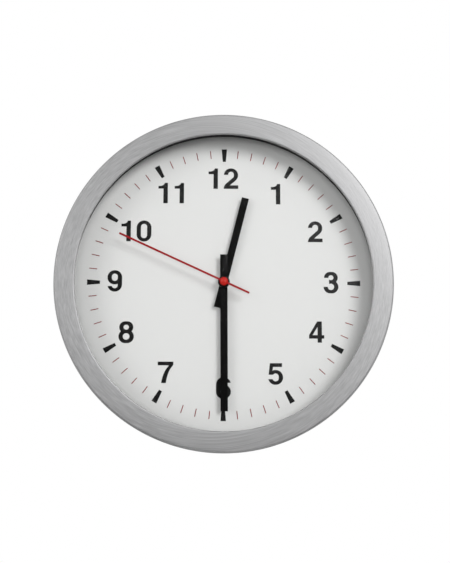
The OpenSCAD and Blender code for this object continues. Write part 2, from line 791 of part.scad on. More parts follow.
module lens_gasket() {
    placed() color("dimgray") translate([0, 0, lens_top])
        tube(lens_r, open_r + rim_t + lip_bend + lip_gap, gasket_t);
}

// Calls its children at each peg of the inner ring
module at_pegs() {
    for (i = [0:peg_count - 1]) rotate(360*i/peg_count) translate([peg_at, 0, 0]) children();
}

// Moulded back shell with its skirt, ribs, screw bosses, hanger pocket and movement frame
module back_shell() {
    rib_z = floor_z - rib_h;
    into = shell_t/2;
    boss_z = rim_t + shell_gap + into;
    boss_l = rim_screw_l + screw_end - boss_z;
    placed() color([0.1, 0.1, 0.11]) difference() {
        union() {
            rotate_extrude() {
                translate([bush_hole, floor_z]) square([skirt_r - bush_hole, shell_t]);
                translate([skirt_r - shell_t, 0]) square([shell_t, dial_z]);
            }
            difference() {
                union() {
                    for (i = [0:rib_count - 1]) rotate(360*(i + 0.5)/rib_count)
                        translate([rib_in, -rib_t/2, rib_z])
                            cube([skirt_r - into - rib_in, rib_t, rib_h + into]);
                    translate([0, 0, rib_z])
                        tube(ring_rib_r + rib_t/2, ring_rib_r - rib_t/2, rib_h + into);
                    translate([-rib_in, -rib_in, rib_z]) cube([2*rib_in, 2*rib_in, rib_h + into]);
                }
                translate([-rib_in + rib_t, -rib_in + rib_t, rib_z - eps])
                    cube([mv_w + 2*mv_gap, mv_w + 2*mv_gap, rib_h + eps]);
            }
            at_rim_screws() translate([0, 0, boss_z]) {
                cylinder(r = rim_boss_r, h = boss_l);
                translate([0, -rib_t/2, 0]) cube([rib_z + into - rim_screw_z, rib_t, boss_l]);
            }
            translate([0, pocket_y, hanger_top]) linear_extrude(floor_z - hanger_top + into)
                square([pocket_w + 2*pocket_wall, pocket_h + 2*pocket_wall], center = true);
            for (s = [-1, 1]) translate([s*hanger_screw_x, pocket_y, hanger_top])
                cylinder(r = hanger_boss_r, h = floor_z - hanger_top + into);
        }
        translate([0, 0, rib_z - eps]) cylinder(r = bush_hole, h = rib_h + 2*shell_t);
        translate([0, pocket_y, hanger_top - eps]) linear_extrude(floor_z - hanger_top + eps)
            square([pocket_w, pocket_h], center = true);
        for (s = [-1, 1]) translate([s*hanger_screw_x, pocket_y, hanger_top - eps])
            cylinder(r = hanger_screw_r, h = hanger_screw_l);
        at_rim_screws() translate([0, 0, rim_t/2]) cylinder(r = rim_screw_r, h = rim_screw_l);
        at_pegs() translate([0, 0, floor_z - eps]) cylinder(r = peg_r + peg_gap, h = 2*shell_t);
    }
}

// Moulded ring around the dial, from its pegged foot up to the glass's seat and its bead
module inner_ring() {
    into = shell_t/2;
    placed() color([0.08, 0.08, 0.09]) {
        rotate_extrude() {
            translate([surround_r, dial_z]) square([shell_t, lens_z - dial_z]);
            translate([surround_r, dial_z]) square([foot_w, shell_t]);
            translate([surround_r, seat_z]) square([skirt_r - surround_r, shell_t]);
            translate([lens_r + lens_gap, seat_z]) square([bead_w, face_in_z - seat_z]);
        }
        for (i = [0:web_count - 1]) rotate(360*(i + 0.5)/web_count) translate([0, rib_t/2, 0])
            rotate([90, 0, 0]) linear_extrude(rib_t) polygon([[surround_out - into, dial_z + into],
                [surround_r + foot_w - into, dial_z + into], [skirt_r - web_in, seat_z + into],
                [surround_out - into, seat_z + into]]);
        at_pegs() translate([0, 0, floor_z - peg_proud])
            cylinder(r = peg_r, h = peg_proud + shell_t + into);
    }
}

module dial() {
    placed() color("white") translate([0, 0, dial_z])
        tube(surround_r - dial_gap, bush_hole, dial_t);
}

// Calls its children at each minute of the dial, for the hours or for the minutes between them
module at_minutes(hours) {
    for (k = [0:59]) if ((k % 5 == 0) == hours) rotate(-6*k) children();
}

module hour_marks() {
    placed() color("black") translate([0, 0, dial_height]) at_minutes(true)
        linear_extrude(print_t) polygon([
            [-hour_mark_w_in/2, hour_mark_in], [hour_mark_w_in/2, hour_mark_in],
            [hour_mark_w_out/2, hour_mark_out], [-hour_mark_w_out/2, hour_mark_out]]);
}

module minute_marks() {
    placed() color("red") translate([0, 0, dial_height]) at_minutes(false)
        translate([-minute_mark_w/2, minute_mark_in, 0])
            cube([minute_mark_w, minute_mark_out - minute_mark_in, print_t]);
}

// Rectangle w by h with full round ends
module pill(w, h) {
    r = min(w, h)/2;
    for (s = [-1, 1]) translate([s*(w/2 - r), s*(h/2 - r)]) circle(r);
    square(w > h ? [w - h, h] : [w, h - w], center = true);
}

// Round stroke of a digit: w by h outside, with its middle at y
module bowl(y, w, h) {
    translate([0, y*numeral_k]) difference() {
        pill(w*numeral_k, h*numeral_k);
        pill((w - 2*stroke_w)*numeral_k, (h - 2*stroke_h)*numeral_k);
    }
}

module shape(points) {
    polygon(numeral_k*points);
}

// Bold digit around its middle, in a height of 19 that numeral_k then scales
module digit(d) {
    if (d == 0) bowl(0, bowl_w, bowl_h);
    if (d == 1) translate([-1.5*numeral_k, 0]) shape([[0.3, -9.5], [4.3, -9.5], [4.3, 9.5],
        [1.5, 9.5], [0.9, 8.1], [-0.4, 7.1], [-2.2, 6.7], [-4.3, 6.6], [-4.3, 4.1], [0.3, 4.1]]);
    if (d == 2) {
        difference() {
            bowl(3.3, 13, 12.6);
            shape([[-8, -4], [-8, 3.6], [2.4, 3.6], [2.4, 1], [5.2, -0.5], [8, -0.5], [8, -4]]);
        }
        shape([[2.3, 1.4], [5.2, -0.5], [3.8, -2.2], [0.9, -4.5], [-0.9, -6.2], [6.7, -6.2],
            [6.7, -9.5], [-6.7, -9.5], [-6.4, -7.5], [-5.3, -5.4], [-2.6, -2.9]]);
    }
    if (d == 3) difference() {
        union() {
            bowl(4.5, 12.4, 10.6);
            bowl(-3.8, bowl_w, 12);
        }
        shape([[-8, -3.8], [-8, 4.3], [-1.7, 4.3], [-1.7, -3.8]]);
    }
    if (d == 4) difference() {
        shape([[-6.8, -5.9], [-6.8, -2.7], [0.5, 9.5], [4.7, 9.5], [4.7, -2.8], [6.8, -2.8],
            [6.8, -5.9], [4.7, -5.9], [4.7, -9.5], [0.8, -9.5], [0.8, -5.9]]);
        shape([[0.8, -2.8], [0.8, 4.6], [-3.7, -2.8]]);
    }
    if (d == 5) {
        difference() {
            bowl(-3.1, bowl_w, 13.2);
            shape([[-8, -4.7], [-8, 5], [-2.8, 5], [-2.3, -0.8], [-2.3, -4.7]]);
        }
        shape([[-5.1, 9.5], [5.8, 9.5], [5.8, 6.2], [-2.2, 6.2], [-2.8, 2.6], [-1.6, 3.3],
            [-1.2, 1], [-2.3, -0.8], [-6.2, -0.8]]);
    }
    if (d == 6) {
        bowl(-3.3, 13.2, 12.8);
        difference() {
            bowl(0, 13.2, bowl_h);
            shape([[0, -9.8], [8, -9.8], [8, 4.6], [0, 4.6]]);
        }
    }
    if (d == 7) shape([[-7, 9.5], [7, 9.5], [7, 6.6], [5.9, 5.3], [4.9, 3.9], [3.9, 2.3],
        [3, 0.5], [2.2, -1.6], [1.5, -4], [0.9, -6.6], [0.5, -9.5], [-3.7, -9.5], [-3.3, -6.8],
        [-2.6, -4.1], [-1.7, -1.5], [-0.6, 1], [0.8, 3.3], [2.9, 6.2], [-7, 6.2]]);
    if (d == 8) {
        bowl(4.5, 12.6, 10.6);
        bowl(-3.8, 13.8, 12);
    }
    if (d == 9) rotate(180) digit(6);
}

module numerals() {
    placed() color("black") translate([0, 0, dial_height]) linear_extrude(print_t)
        for (n = [1:12]) translate(numeral_at[n - 1]) {
            if (n < 10) digit(n);
            else for (s = [-1, 1]) translate([s*numeral_pitch/2, 0]) digit(s < 0 ? 1 : n - 10);
        }
}

// Steel plate with a keyhole, screwed over the pocket
module hanger_plate() {
    placed() color("lightgray") translate([0, pocket_y, hanger_lift]) linear_extrude(hanger_t)
        difference() {
            rounded_2d(hanger_w, pocket_h + 2*pocket_wall, hanger_corner);
            translate([0, hanger_y - pocket_y]) {
                circle(hanger_hole_r);
                translate([-hanger_slot_w/2, 0]) square([hanger_slot_w, hanger_slot_l]);
                translate([0, hanger_slot_l]) circle(hanger_slot_w/2);
            }
            for (s = [-1, 1]) translate([s*hanger_screw_x, 0]) circle(hanger_screw_r + screw_play);
        }
}

module hanger_screws() {
    placed() color("gainsboro") for (s = [-1, 1]) translate([s*hanger_screw_x, pocket_y, 0])
        difference() {
            union() {
                translate([0, 0, hanger_lift - hanger_head_h])
                    cylinder(r1 = hanger_head_r - cross_w, r2 = hanger_head_r, h = hanger_head_h);
                translate([0, 0, hanger_lift - eps])
                    cylinder(r = hanger_screw_r, h = hanger_screw_l + eps);
            }
            translate([0, 0, hanger_lift - hanger_head_h]) cross_cut(hanger_screw_r, hanger_head_h/2);
        }
}

module rubber_washer() {
    placed() color("dimgray") translate([0, 0, mv_top]) tube(rubber_r, bush_hole, rubber_t);
}

module fixing_washer() {
    placed() color("whitesmoke") translate([0, 0, dial_height]) tube(washer_r, bush_hole, washer_t);
}

module hex_nut() {
    placed() color("whitesmoke") translate([0, 0, dial_height + washer_t]) difference() {
        cylinder(r = nut_af/2/cos(30), h = nut_t, $fn = 6);
        translate([0, 0, -eps]) cylinder(r = bush_r, h = nut_t + 2*eps);
    }
}

// Straight hand with square ends and a round eye around the axis
module hand(angle, l, tail, w, t, eye_r, bore) {
    rotate(-angle) linear_extrude(t) difference() {
        union() {
            translate([-w/2, -tail]) square([w, l + tail]);
            circle(eye_r);
        }
        circle(bore);
    }
}

module hour_hand() {
    placed() color([0.06, 0.06, 0.06]) translate([0, 0, hour_hand_z])
        hand(hour_angle, hour_l, hour_tail, hour_w, hand_t, hour_r + collet_wall + eye_w,
            hour_r + collet_wall);
}

module hour_collet() {
    placed() color("gold") translate([0, 0, hour_hand_z]) {
        translate([0, 0, -collet_l]) tube(hour_r + collet_wall, hour_r, collet_l + hand_t);
        translate([0, 0, -collet_flange_t])
            tube(hour_r + collet_wall + collet_flange_w, hour_r + eps, collet_flange_t);
    }
}

module minute_hand() {
    placed() color([0.06, 0.06, 0.06]) translate([0, 0, minute_hand_z])
        hand(minute_angle, minute_l, minute_tail, minute_w, hand_t, boss_r - eye_in, minute_r);
}

module minute_boss() {
    placed() color([0.1, 0.1, 0.1]) translate([0, 0, boss_z]) difference() {
        rotate_extrude() {
            square([boss_r, boss_h/2]);
            square([boss_r - boss_h/2, boss_h]);
            translate([boss_r - boss_h/2, boss_h/2]) circle(boss_h/2);
        }
        translate([0, 0, -eps]) cylinder(r = minute_r, h = boss_h + 2*eps);
    }
}

module second_hand() {
    placed() color("red") translate([0, 0, second_hand_z])
        hand(second_angle, second_l, second_tail, second_w, second_t,
            second_r + collet_wall + second_eye_w, second_r);
}

module second_collet() {
    placed() color("gold") translate([0, 0, second_hand_z - second_gap/2])
        tube(second_r + collet_wall, second_r, second_gap/2);
}

module second_cap() {
    sag_r = (cap_r*cap_r + cap_h*cap_h)/(2*cap_h);
    placed() color("red") translate([0, 0, cap_z]) difference() {
        rotate_extrude() intersection() {
            translate([0, cap_h - sag_r]) circle(sag_r);
            square([cap_r, cap_h]);
        }
        translate([0, 0, -eps]) cylinder(r = second_r, h = arbor_top - cap_z + eps);
    }
}

// Corner pillar of height h, with a hole in its top for a screw
module pillar(h) {
    difference() {
        cylinder(r = pillar_r, h = h);
        translate([0, 0, h - plate_screw_l]) cylinder(r = plate_screw_r, h = plate_screw_l + eps);
    }
}

module at_core_ends() {
    for (s = [-1, 1]) translate([s*core_l/2, coil_y, 0]) children();
}

// L-shaped guides that hold a contact plate against the bay's end wall
module contact_guides() {
    lip_x = mv_in - contact_t - contact_gap - guide_t;
    for (s = [0, 1]) mirror([0, s, 0]) {
        translate([lip_x, contact_w/2 + contact_gap, in_z - eps])
            cube([mv_in - lip_x + eps, guide_t, cell_z + guide_t - in_z]);
        translate([lip_x, contact_w/2 - guide_t, in_z - eps])
            cube([guide_t, guide_t + 2*contact_gap, cell_z + guide_t - in_z]);
    }
}

// Rear housing of the movement, with the battery bay, the pivot holes and the pillars
module movement_case() {
    recess = snap_t + snap_gap;
    placed() color([0.13, 0.13, 0.14]) {
        difference() {
            union() {
                difference() {
                    translate([0, 0, mv_z]) linear_extrude(cover_z - mv_z)
                        rounded_2d(mv_w, mv_w, mv_corner);
                    translate([-mv_in, bay_top + bay_wall, in_z])
                        cube([2*mv_in, mv_in - bay_top - bay_wall, mv_t]);
                    translate([-mv_in, -mv_in, mv_z - eps]) cube([2*mv_in, bay_top + mv_in, mv_t]);
                }
                for (y = [-mv_in - eps, bay_top - bump_h]) for (s = [-1, 1])
                    translate([s*cell_l/4 - bump_l/2, y, cell_z - cell_r/2 - bump_t])
                        cube([bump_l, bump_h + eps, bump_t]);
                for (p = pillars) translate([p[0], p[1], in_z - eps]) pillar(plate_z - in_z + eps);
                at_core_ends() translate([0, 0, in_z - eps]) {
                    cylinder(r = iron_w/2, h = stator_z - in_z + eps);
                    cylinder(r = stake_r, h = core_z + iron_t + stake_over - in_z);
                }
                for (p = [third_at, inter_at, rotor_at, [0, 0]]) translate([p[0], p[1], in_z - eps])
                    cylinder(r = pivot_r + pivot_wall, h = pivot_ring_h + eps);
            }
            translate([-mv_in, bay_top - eps, strip_z]) cube([2*mv_in, bay_wall + 2*eps, mv_t]);
            for (p = [third_at, inter_at, rotor_at, [0, 0]])
                translate([p[0], p[1], in_z - pivot_l - end_play])
                    cylinder(r = pivot_r + run_gap, h = pivot_l + end_play + past);
            translate([setting_at[0], setting_at[1], mv_z - eps])
                cylinder(r = setting_r + run_gap, h = mv_back + past);
            for (a = [0:90:270]) rotate(a)
                translate([-snap_w/2 - snap_gap, mv_w/2 - recess, cover_z - snap_l - snap_gap])
                    cube([snap_w + 2*snap_gap, recess + past, snap_l + past]);
        }
        for (a = [0:90:270]) rotate(a) translate([-snap_w/4, mv_w/2 - recess - eps, catch_z])
            cube([snap_w/2, snap_t, catch_h]);
        for (a = [0, 180]) translate([0, cell_y, 0]) rotate(a) contact_guides();
    }
}

// Front cover of the movement, with a window in each snap tab for the catch
module movement_cover() {
    placed() color([0.13, 0.13, 0.14]) difference() {
        union() {
            translate([0, 0, cover_z]) linear_extrude(mv_cover) rounded_2d(mv_w, mv_w, mv_corner);
            for (a = [0:90:270]) rotate(a) translate([-snap_w/2, mv_w/2 - snap_t, cover_z - snap_l])
                cube([snap_w, snap_t, snap_l + mv_cover/2]);
        }
        translate([0, 0, cover_z - eps]) cylinder(r = bush_r, h = mv_cover + 2*eps);
        for (a = [0:90:270]) rotate(a)
            translate([-snap_w/4 - snap_gap, mv_w/2 - snap_t - eps, catch_z - snap_gap])
                cube([snap_w/2 + 2*snap_gap, snap_t + past, catch_h + 2*snap_gap]);
    }
}

// Bush through the dial, with a collar inside the cover
module threaded_bush() {
    collar_z = cover_z - bush_collar;
    placed() color("gold") difference() {
        union() {
            translate([0, 0, collar_z]) cylinder(r = bush_r + collar_w, h = bush_collar);
            translate([0, 0, collar_z]) cylinder(r = bush_r, h = bush_top - collar_z);
        }
        translate([0, 0, collar_z - eps]) cylinder(r = bush_in, h = bush_top - collar_z + 2*eps);
    }
}

// Plate between the motor's wheels and the motion work
module mid_plate() {
    low_y = bay_top + bay_wall + edge_gap;
    placed() color("ivory") difference() {
        union() {
            translate([0, (low_y + plate_y)/2, plate_z]) linear_extrude(plate_t)
                rounded_2d(2*(mv_in - edge_gap), plate_y - low_y, pillar_r);
            translate([motion_at[0], motion_at[1], plate_top - eps])
                cylinder(r = post_r, h = hour_wheel_z + wheel_t + post_over - plate_top);
            for (b = board_bosses) translate([board_at[0] + b[0], board_at[1] + b[1], plate_top - eps])
                cylinder(r = board_boss_r, h = board_z - plate_top + eps);
            for (i = [0, 3]) translate([board_at[0] + board_bosses[i][0],
                board_at[1] + board_bosses[i][1], plate_top])
                    cylinder(r = board_pin_r, h = board_top + board_pin_over - plate_top);
        }
        translate([0, 0, plate_z - eps]) cylinder(r = minute_r + run_gap, h = plate_t + 2*eps);
        for (p = [third_at, inter_at, rotor_at]) translate([p[0], p[1], plate_z - eps])
            cylinder(r = pivot_r + run_gap, h = plate_t + 2*eps);
        translate([setting_at[0], setting_at[1], plate_z - eps])
            cylinder(r = setting_r + run_gap, h = plate_t + 2*eps);
        for (p = pillars) translate([p[0], p[1], plate_z - eps])
            cylinder(r = plate_screw_r + screw_play, h = plate_t + 2*eps);
    }
}

module plate_screws() {
    head_r = 2*plate_screw_r;
    head_h = 0.9;
    placed() color("gainsboro") for (p = pillars) translate([p[0], p[1], plate_top]) difference() {
        union() {
            cylinder(r = head_r, h = head_h);
            translate([0, 0, head_h/2 - plate_screw_l]) cylinder(r = plate_screw_r, h = plate_screw_l);
        }
        translate([0, 0, head_h]) mirror([0, 0, 1]) cross_cut(plate_screw_r, head_h/2);
    }
}

module second_arbor() {
    placed() color("lightgray") {
        translate([0, 0, in_z - pivot_l]) cylinder(r = pivot_r, h = shoulder_z + end_play - in_z + pivot_l);
        translate([0, 0, shoulder_z]) cylinder(r = second_r, h = arbor_top - shoulder_z);
    }
}

module second_wheel() {
    placed() color("ivory") difference() {
        union() {
            translate([0, 0, second_z])
                wheel(second_teeth, second_m, second_turn, pinion_tip(second_pinion, third_m));
            translate([0, 0, second_z + wheel_t - eps])
                pinion(second_pinion, third_m, 0, low_z - second_z + pinion_over);
        }
        translate([0, 0, second_z - eps]) cylinder(r = second_r, h = mv_t);
    }
}

module third_wheel() {
    placed() color("ivory") translate([third_at[0], third_at[1], 0]) {
        translate([0, 0, low_z])
            wheel(third_teeth, third_m, third_turn, pinion_tip(third_pinion, centre_m));
        translate([0, 0, low_z + wheel_t - eps])
            pinion(third_pinion, centre_m, 0, centre_z - low_z + pinion_over);
        translate([0, 0, shoulder_z]) cylinder(r = 2*pivot_r, h = low_z + wheel_t - shoulder_z);
        pivots();
    }
}

// Wheel with a friction hub, gripped on the minute hand's tube
module centre_wheel() {
    placed() color("ivory") translate([0, 0, centre_z]) difference() {
        union() {
            wheel(centre_teeth, centre_m, centre_turn, minute_r + hub_wall);
            cylinder(r = minute_r + hub_wall, h = wheel_t + hub_over);
        }
        translate([0, 0, -eps]) cylinder(r = minute_r, h = wheel_t + past);
    }
}

// Tube that carries the minute hand, with the cannon pinion
module minute_arbor() {
    tube_z = centre_z - tube_under;
    cannon_z = plate_top + end_play;
    placed() color("gold") difference() {
        union() {
            translate([0, 0, tube_z]) cylinder(r = minute_r, h = minute_tube_top - tube_z);
            translate([0, 0, cannon_z])
                pinion(cannon_teeth, motion_m, 0, motion_z + wheel_t + pinion_over - cannon_z);
        }
        translate([0, 0, tube_z - eps]) cylinder(r = minute_in, h = minute_tube_top);
    }
}

module motion_wheel() {
    placed() color("ivory") translate([motion_at[0], motion_at[1], 0]) difference() {
        union() {
            translate([0, 0, motion_z])
                wheel(motion_teeth, motion_m, motion_turn, pinion_tip(motion_pinion, motion_m));
            translate([0, 0, motion_z + wheel_t - eps])
                pinion(motion_pinion, motion_m, 0, hour_wheel_z - motion_z + pinion_over);
            translate([0, 0, plate_top + end_play])
                cylinder(r = post_r + hub_wall, h = motion_z - plate_top);
        }
        translate([0, 0, plate_top]) cylinder(r = post_r + run_gap, h = mv_t);
    }
}

module hour_wheel() {
    hub_z = motion_z + wheel_t + pinion_over + end_play;
    placed() color("ivory") difference() {
        union() {
            translate([0, 0, hour_wheel_z]) wheel(hour_teeth, motion_m, hour_turn, hour_r + hub_wall);
            translate([0, 0, hub_z]) cylinder(r = hour_r, h = hour_tube_top - hub_z);
        }
        translate([0, 0, hub_z - eps]) cylinder(r = hour_in, h = hour_tube_top);
    }
}

module intermediate_wheel() {
    placed() color("ivory") translate([inter_at[0], inter_at[1], 0]) {
        translate([0, 0, low_z])
            wheel(inter_teeth, rotor_m, 0, pinion_tip(inter_pinion, second_m));
        translate([0, 0, shoulder_z]) pinion(inter_pinion, second_m, 0, low_z - shoulder_z + eps);
        translate([0, 0, low_z]) cylinder(r = 2*pivot_r, h = plate_z - end_play - low_z);
        pivots();
    }
}

module rotor_pinion() {
    placed() color("ivory") translate([rotor_at[0], rotor_at[1], 0]) {
        translate([0, 0, low_z - pinion_over])
            pinion(rotor_teeth, rotor_m, rotor_turn, wheel_t + 2*pinion_over);
        translate([0, 0, shoulder_z]) cylinder(r = rotor_hub_r, h = plate_z - end_play - shoulder_z);
        pivots();
    }
}

module rotor_magnet() {
    placed() color("dimgray")
        translate([rotor_at[0], rotor_at[1], stator_z + (iron_t - magnet_t)/2])
            tube(magnet_r, rotor_hub_r, magnet_t);
}

module setting_arbor() {
    bottom = knob_z + knob_face;
    placed() color("ivory") translate([setting_at[0], setting_at[1], 0]) {
        translate([0, 0, bottom])
            cylinder(r = setting_r, h = motion_z + wheel_t + setting_over - bottom);
        translate([0, 0, motion_z - pinion_over])
            pinion(setting_teeth, motion_m, setting_turn, wheel_t + 2*pinion_over);
    }
}

// Knurled knob on the back, which sets the hands
module setting_knob() {
    placed() color([0.2, 0.2, 0.2]) translate([setting_at[0], setting_at[1], knob_z])
        difference() {
            cylinder(r = knob_r, h = knob_t);
            for (i = [0:knurl_count - 1]) rotate(360*i/knurl_count)
                translate([knob_r + knurl_r/4, 0, -eps])
                    cylinder(r = knurl_r, h = knob_t + 2*eps, $fn = 24);
            translate([0, 0, knob_face]) cylinder(r = setting_r, h = knob_t);
        }
}

// Iron plate around the rotor, with two legs up to the coil's core and two locating notches
module stator() {
    placed() color("slategray") translate([0, 0, stator_z]) linear_extrude(iron_t) difference() {
        union() {
            translate([-core_l/2 - iron_w/2, bridge_y - iron_w/2]) square([core_l + iron_w, iron_w]);
            for (s = [-1, 1]) {
                translate([s*core_l/2 - iron_w/2, bridge_y]) square([iron_w, coil_y - bridge_y]);
                translate([s*core_l/2, coil_y]) circle(iron_w/2);
            }
            translate(rotor_at) circle(magnet_r + air_gap + iron_w/2);
        }
        translate(rotor_at) {
            circle(magnet_r + air_gap);
            for (a = [0, 180]) rotate(rotor_dir + a) translate([magnet_r + air_gap, 0]) circle(air_gap);
        }
        at_core_ends() circle(stake_r + run_gap);
    }
}

module coil_core() {
    placed() color("slategray") translate([0, 0, core_z]) linear_extrude(iron_t) difference() {
        union() {
            translate([0, coil_y]) square([core_l, core_w], center = true);
            at_core_ends() circle(iron_w/2);
        }
        at_core_ends() circle(stake_r + run_gap);
    }
}

// Puts its children along x, centred on the coil's axis
module along_coil() {
    placed() translate([0, coil_y, core_z + iron_t/2]) rotate([0, 90, 0]) children();
}

// Bobbin with two flanges, and a terminal ledge on the flange next to the board
module coil_bobbin() {
    foot_z = core_z + iron_t + ledge_gap;
    color("whitesmoke") {
        along_coil() difference() {
            union() {
                translate([0, 0, -winding_l/2]) cylinder(r = bobbin_r, h = winding_l);
                for (s = [-1, 1]) translate([0, 0, s*(winding_l + flange_t)/2 - flange_t/2])
                    cylinder(r = flange_r, h = flange_t);
            }
            cube([iron_t + 2*run_gap, core_w + 2*run_gap, winding_l + 3*flange_t], center = true);
        }
        placed() translate([ledge_x, coil_y - ledge_down - ledge_h/2, foot_z])
            cube([ledge_l, ledge_h, board_top - foot_z]);
    }
}

module coil_winding() {
    color("chocolate") along_coil() translate([0, 0, -winding_l/2])
        tube(winding_r, bobbin_r, winding_l);
}

// The winding's two ends, from the bobbin's ledge down to the board
module coil_wires() {
    y0 = board_at[1] + boss_high;
    placed() color("chocolate") for (k = [1, 2])
        translate([ledge_x + k*ledge_l/3, y0, board_top + wire_r]) rotate([-90, 0, 0])
            cylinder(r = wire_r, h = coil_y - ledge_down - y0, $fn = 24);
}

module circuit_board() {
    placed() color("darkgreen") translate([board_at[0], board_at[1], board_z])
        linear_extrude(board_t) difference() {
            square([board_w, board_h]);
            for (i = [0, 3]) translate(board_bosses[i]) circle(board_pin_r + run_gap);
        }
}

// Dome of resin over the chip
module chip_cover() {
    sag_r = (blob_r*blob_r + blob_h*blob_h)/(2*blob_h);
    placed() color([0.05, 0.05, 0.05])
        translate([board_at[0] + chip_at[0], board_at[1] + chip_at[1], board_top])
            rotate_extrude() intersection() {
                translate([0, blob_h - sag_r]) circle(sag_r);
                square([blob_r, blob_h]);
            }
}

module quartz_crystal() {
    placed() color("silver")
        translate([board_at[0] + crystal_at[0], board_at[1] + crystal_at[1], board_top + crystal_r])
            rotate([90, 0, 0]) cylinder(r = crystal_r, h = crystal_l);
}

// Plate against the battery's button, with a strip and a tab on the circuit board
module contact_positive() {
    x = mv_in - contact_t;
    tab_y = board_at[1] + tab_w/4;
    placed() color("gold") {
        translate([x, cell_y - contact_w/2, in_z]) cube([contact_t, contact_w, strip_top - in_z]);
        translate([x, cell_y, strip_z]) cube([contact_t, tab_y + tab_w - cell_y, strip_h]);
        translate([board_at[0] + board_w - tab_w, tab_y, strip_z])
            cube([mv_in - board_at[0] - board_w + tab_w, tab_w, contact_t]);
    }
}

// Plate with a bent leaf against the battery's flat end, and a strip along the bay's wall
module contact_negative() {
    leaf_x = cell_end - cell_l - contact_gap + mv_in;
    run_y = bay_top + bay_wall/3;
    root = contact_w/2;
    tip = contact_w/8;
    placed() color("gold") {
        translate([-mv_in, cell_y - contact_w/2, in_z])
            cube([contact_t, contact_w, strip_top - in_z]);
        translate([-mv_in, cell_y + leaf_w/2, cell_z]) rotate([90, 0, 0]) linear_extrude(leaf_w)
            polygon([[0, root], [contact_t, root], [leaf_x, tip], [leaf_x, -tip], [contact_t, -root],
                [0, -root], [0, leaf_foot - root], [contact_t, leaf_foot - root],
                [leaf_x - contact_t, contact_t/2 - tip], [leaf_x - contact_t, tip - contact_t/2],
                [contact_t, root - leaf_foot], [0, root - leaf_foot]]);
        translate([-mv_in, cell_y, strip_z]) cube([contact_t, run_y - cell_y + contact_t, strip_h]);
        translate([-mv_in, run_y, strip_z])
            cube([board_at[0] + tab_in + tab_w + mv_in, contact_t, strip_h]);
        translate([board_at[0] + tab_in, run_y, strip_z])
            cube([tab_w, board_at[1] + tab_w - run_y, contact_t]);
    }
}

// Section of the battery's can up to radius r, with ends rounded by r_end
module cell_2d(r, r_end) {
    square([r - r_end, cell_l]);
    translate([0, r_end]) square([r, cell_l - 2*r_end]);
    for (z = [r_end, cell_l - r_end]) translate([r - r_end, z]) circle(r_end);
}

module along_cell() {
    placed() translate([cell_end - cell_l, cell_y, cell_z]) rotate([0, 90, 0]) children();
}

module battery_can() {
    color("silver") along_cell() rotate_extrude() {
        cell_2d(cell_r - sleeve_t, cell_round);
        square([button_r, cell_l + button_l]);
    }
}

// Plastic sleeve shrunk around the can and over the edges of its ends
module battery_sleeve() {
    color("steelblue") along_cell() rotate_extrude() difference() {
        translate([0, -sleeve_t]) square([cell_r, cell_l + 2*sleeve_t]);
        cell_2d(cell_r - sleeve_t, cell_round);
        translate([-past, -past]) square([cell_r - sleeve_over + past, cell_l + 2*past]);
    }
}

rim();
rim_screws();
lens();
lens_gasket();
back_shell();
inner_ring();
dial();
hour_marks();
minute_marks();
numerals();
hanger_plate();
hanger_screws();
rubber_washer();
fixing_washer();
hex_nut();
hour_hand();
hour_collet();
minute_hand();
minute_boss();
second_hand();
second_collet();
second_cap();
movement_case();
movement_cover();
threaded_bush();
mid_plate();
plate_screws();
second_arbor();
second_wheel();
third_wheel();
centre_wheel();
minute_arbor();
motion_wheel();
hour_wheel();
intermediate_wheel();
rotor_pinion();
rotor_magnet();
setting_arbor();
setting_knob();
stator();
coil_core();
coil_bobbin();
coil_winding();
coil_wires();
circuit_board();
chip_cover();
quartz_crystal();
contact_positive();
contact_negative();
battery_can();
battery_sleeve();
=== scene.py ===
import json
import math

import bpy
from mathutils import Matrix, Vector

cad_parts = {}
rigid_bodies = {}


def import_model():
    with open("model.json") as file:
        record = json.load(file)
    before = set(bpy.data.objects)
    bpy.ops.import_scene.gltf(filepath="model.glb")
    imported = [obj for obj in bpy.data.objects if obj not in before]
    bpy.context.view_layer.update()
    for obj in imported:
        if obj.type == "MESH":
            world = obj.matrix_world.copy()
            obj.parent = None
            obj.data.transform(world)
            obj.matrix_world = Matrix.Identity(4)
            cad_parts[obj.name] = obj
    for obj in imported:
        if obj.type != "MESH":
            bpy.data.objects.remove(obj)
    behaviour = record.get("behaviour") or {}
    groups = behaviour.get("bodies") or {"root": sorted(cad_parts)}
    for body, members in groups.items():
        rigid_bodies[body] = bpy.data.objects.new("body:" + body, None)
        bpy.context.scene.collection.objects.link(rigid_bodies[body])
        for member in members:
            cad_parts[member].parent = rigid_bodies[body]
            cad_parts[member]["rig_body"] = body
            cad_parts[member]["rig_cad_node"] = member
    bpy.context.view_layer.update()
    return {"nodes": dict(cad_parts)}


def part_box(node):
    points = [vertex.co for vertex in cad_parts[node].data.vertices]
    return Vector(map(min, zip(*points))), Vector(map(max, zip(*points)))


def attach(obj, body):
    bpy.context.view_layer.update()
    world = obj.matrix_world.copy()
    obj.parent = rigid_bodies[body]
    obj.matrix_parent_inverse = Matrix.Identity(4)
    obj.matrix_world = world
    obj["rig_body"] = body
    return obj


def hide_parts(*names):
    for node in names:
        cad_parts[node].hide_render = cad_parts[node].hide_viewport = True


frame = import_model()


# Camera: it stands a little below the clock's middle and to its left, as in the photograph,
# about 75 cm in front of the dial. Its lens is known in pixels of the photograph.
MM = 0.001


def aimed(place, target, roll=0.0):
    """Stands at place and looks to target, rolled anticlockwise by roll degrees."""
    ahead = (Vector(target) - Vector(place)).normalized()
    right = ahead.cross(Vector((0, 0, 1))).normalized()
    up = right.cross(ahead)
    c, s = math.cos(math.radians(roll)), math.sin(math.radians(roll))
    turn = Matrix((c * right + s * up, c * up - s * right, -ahead)).transposed().to_4x4()
    return Matrix.Translation(place) @ turn


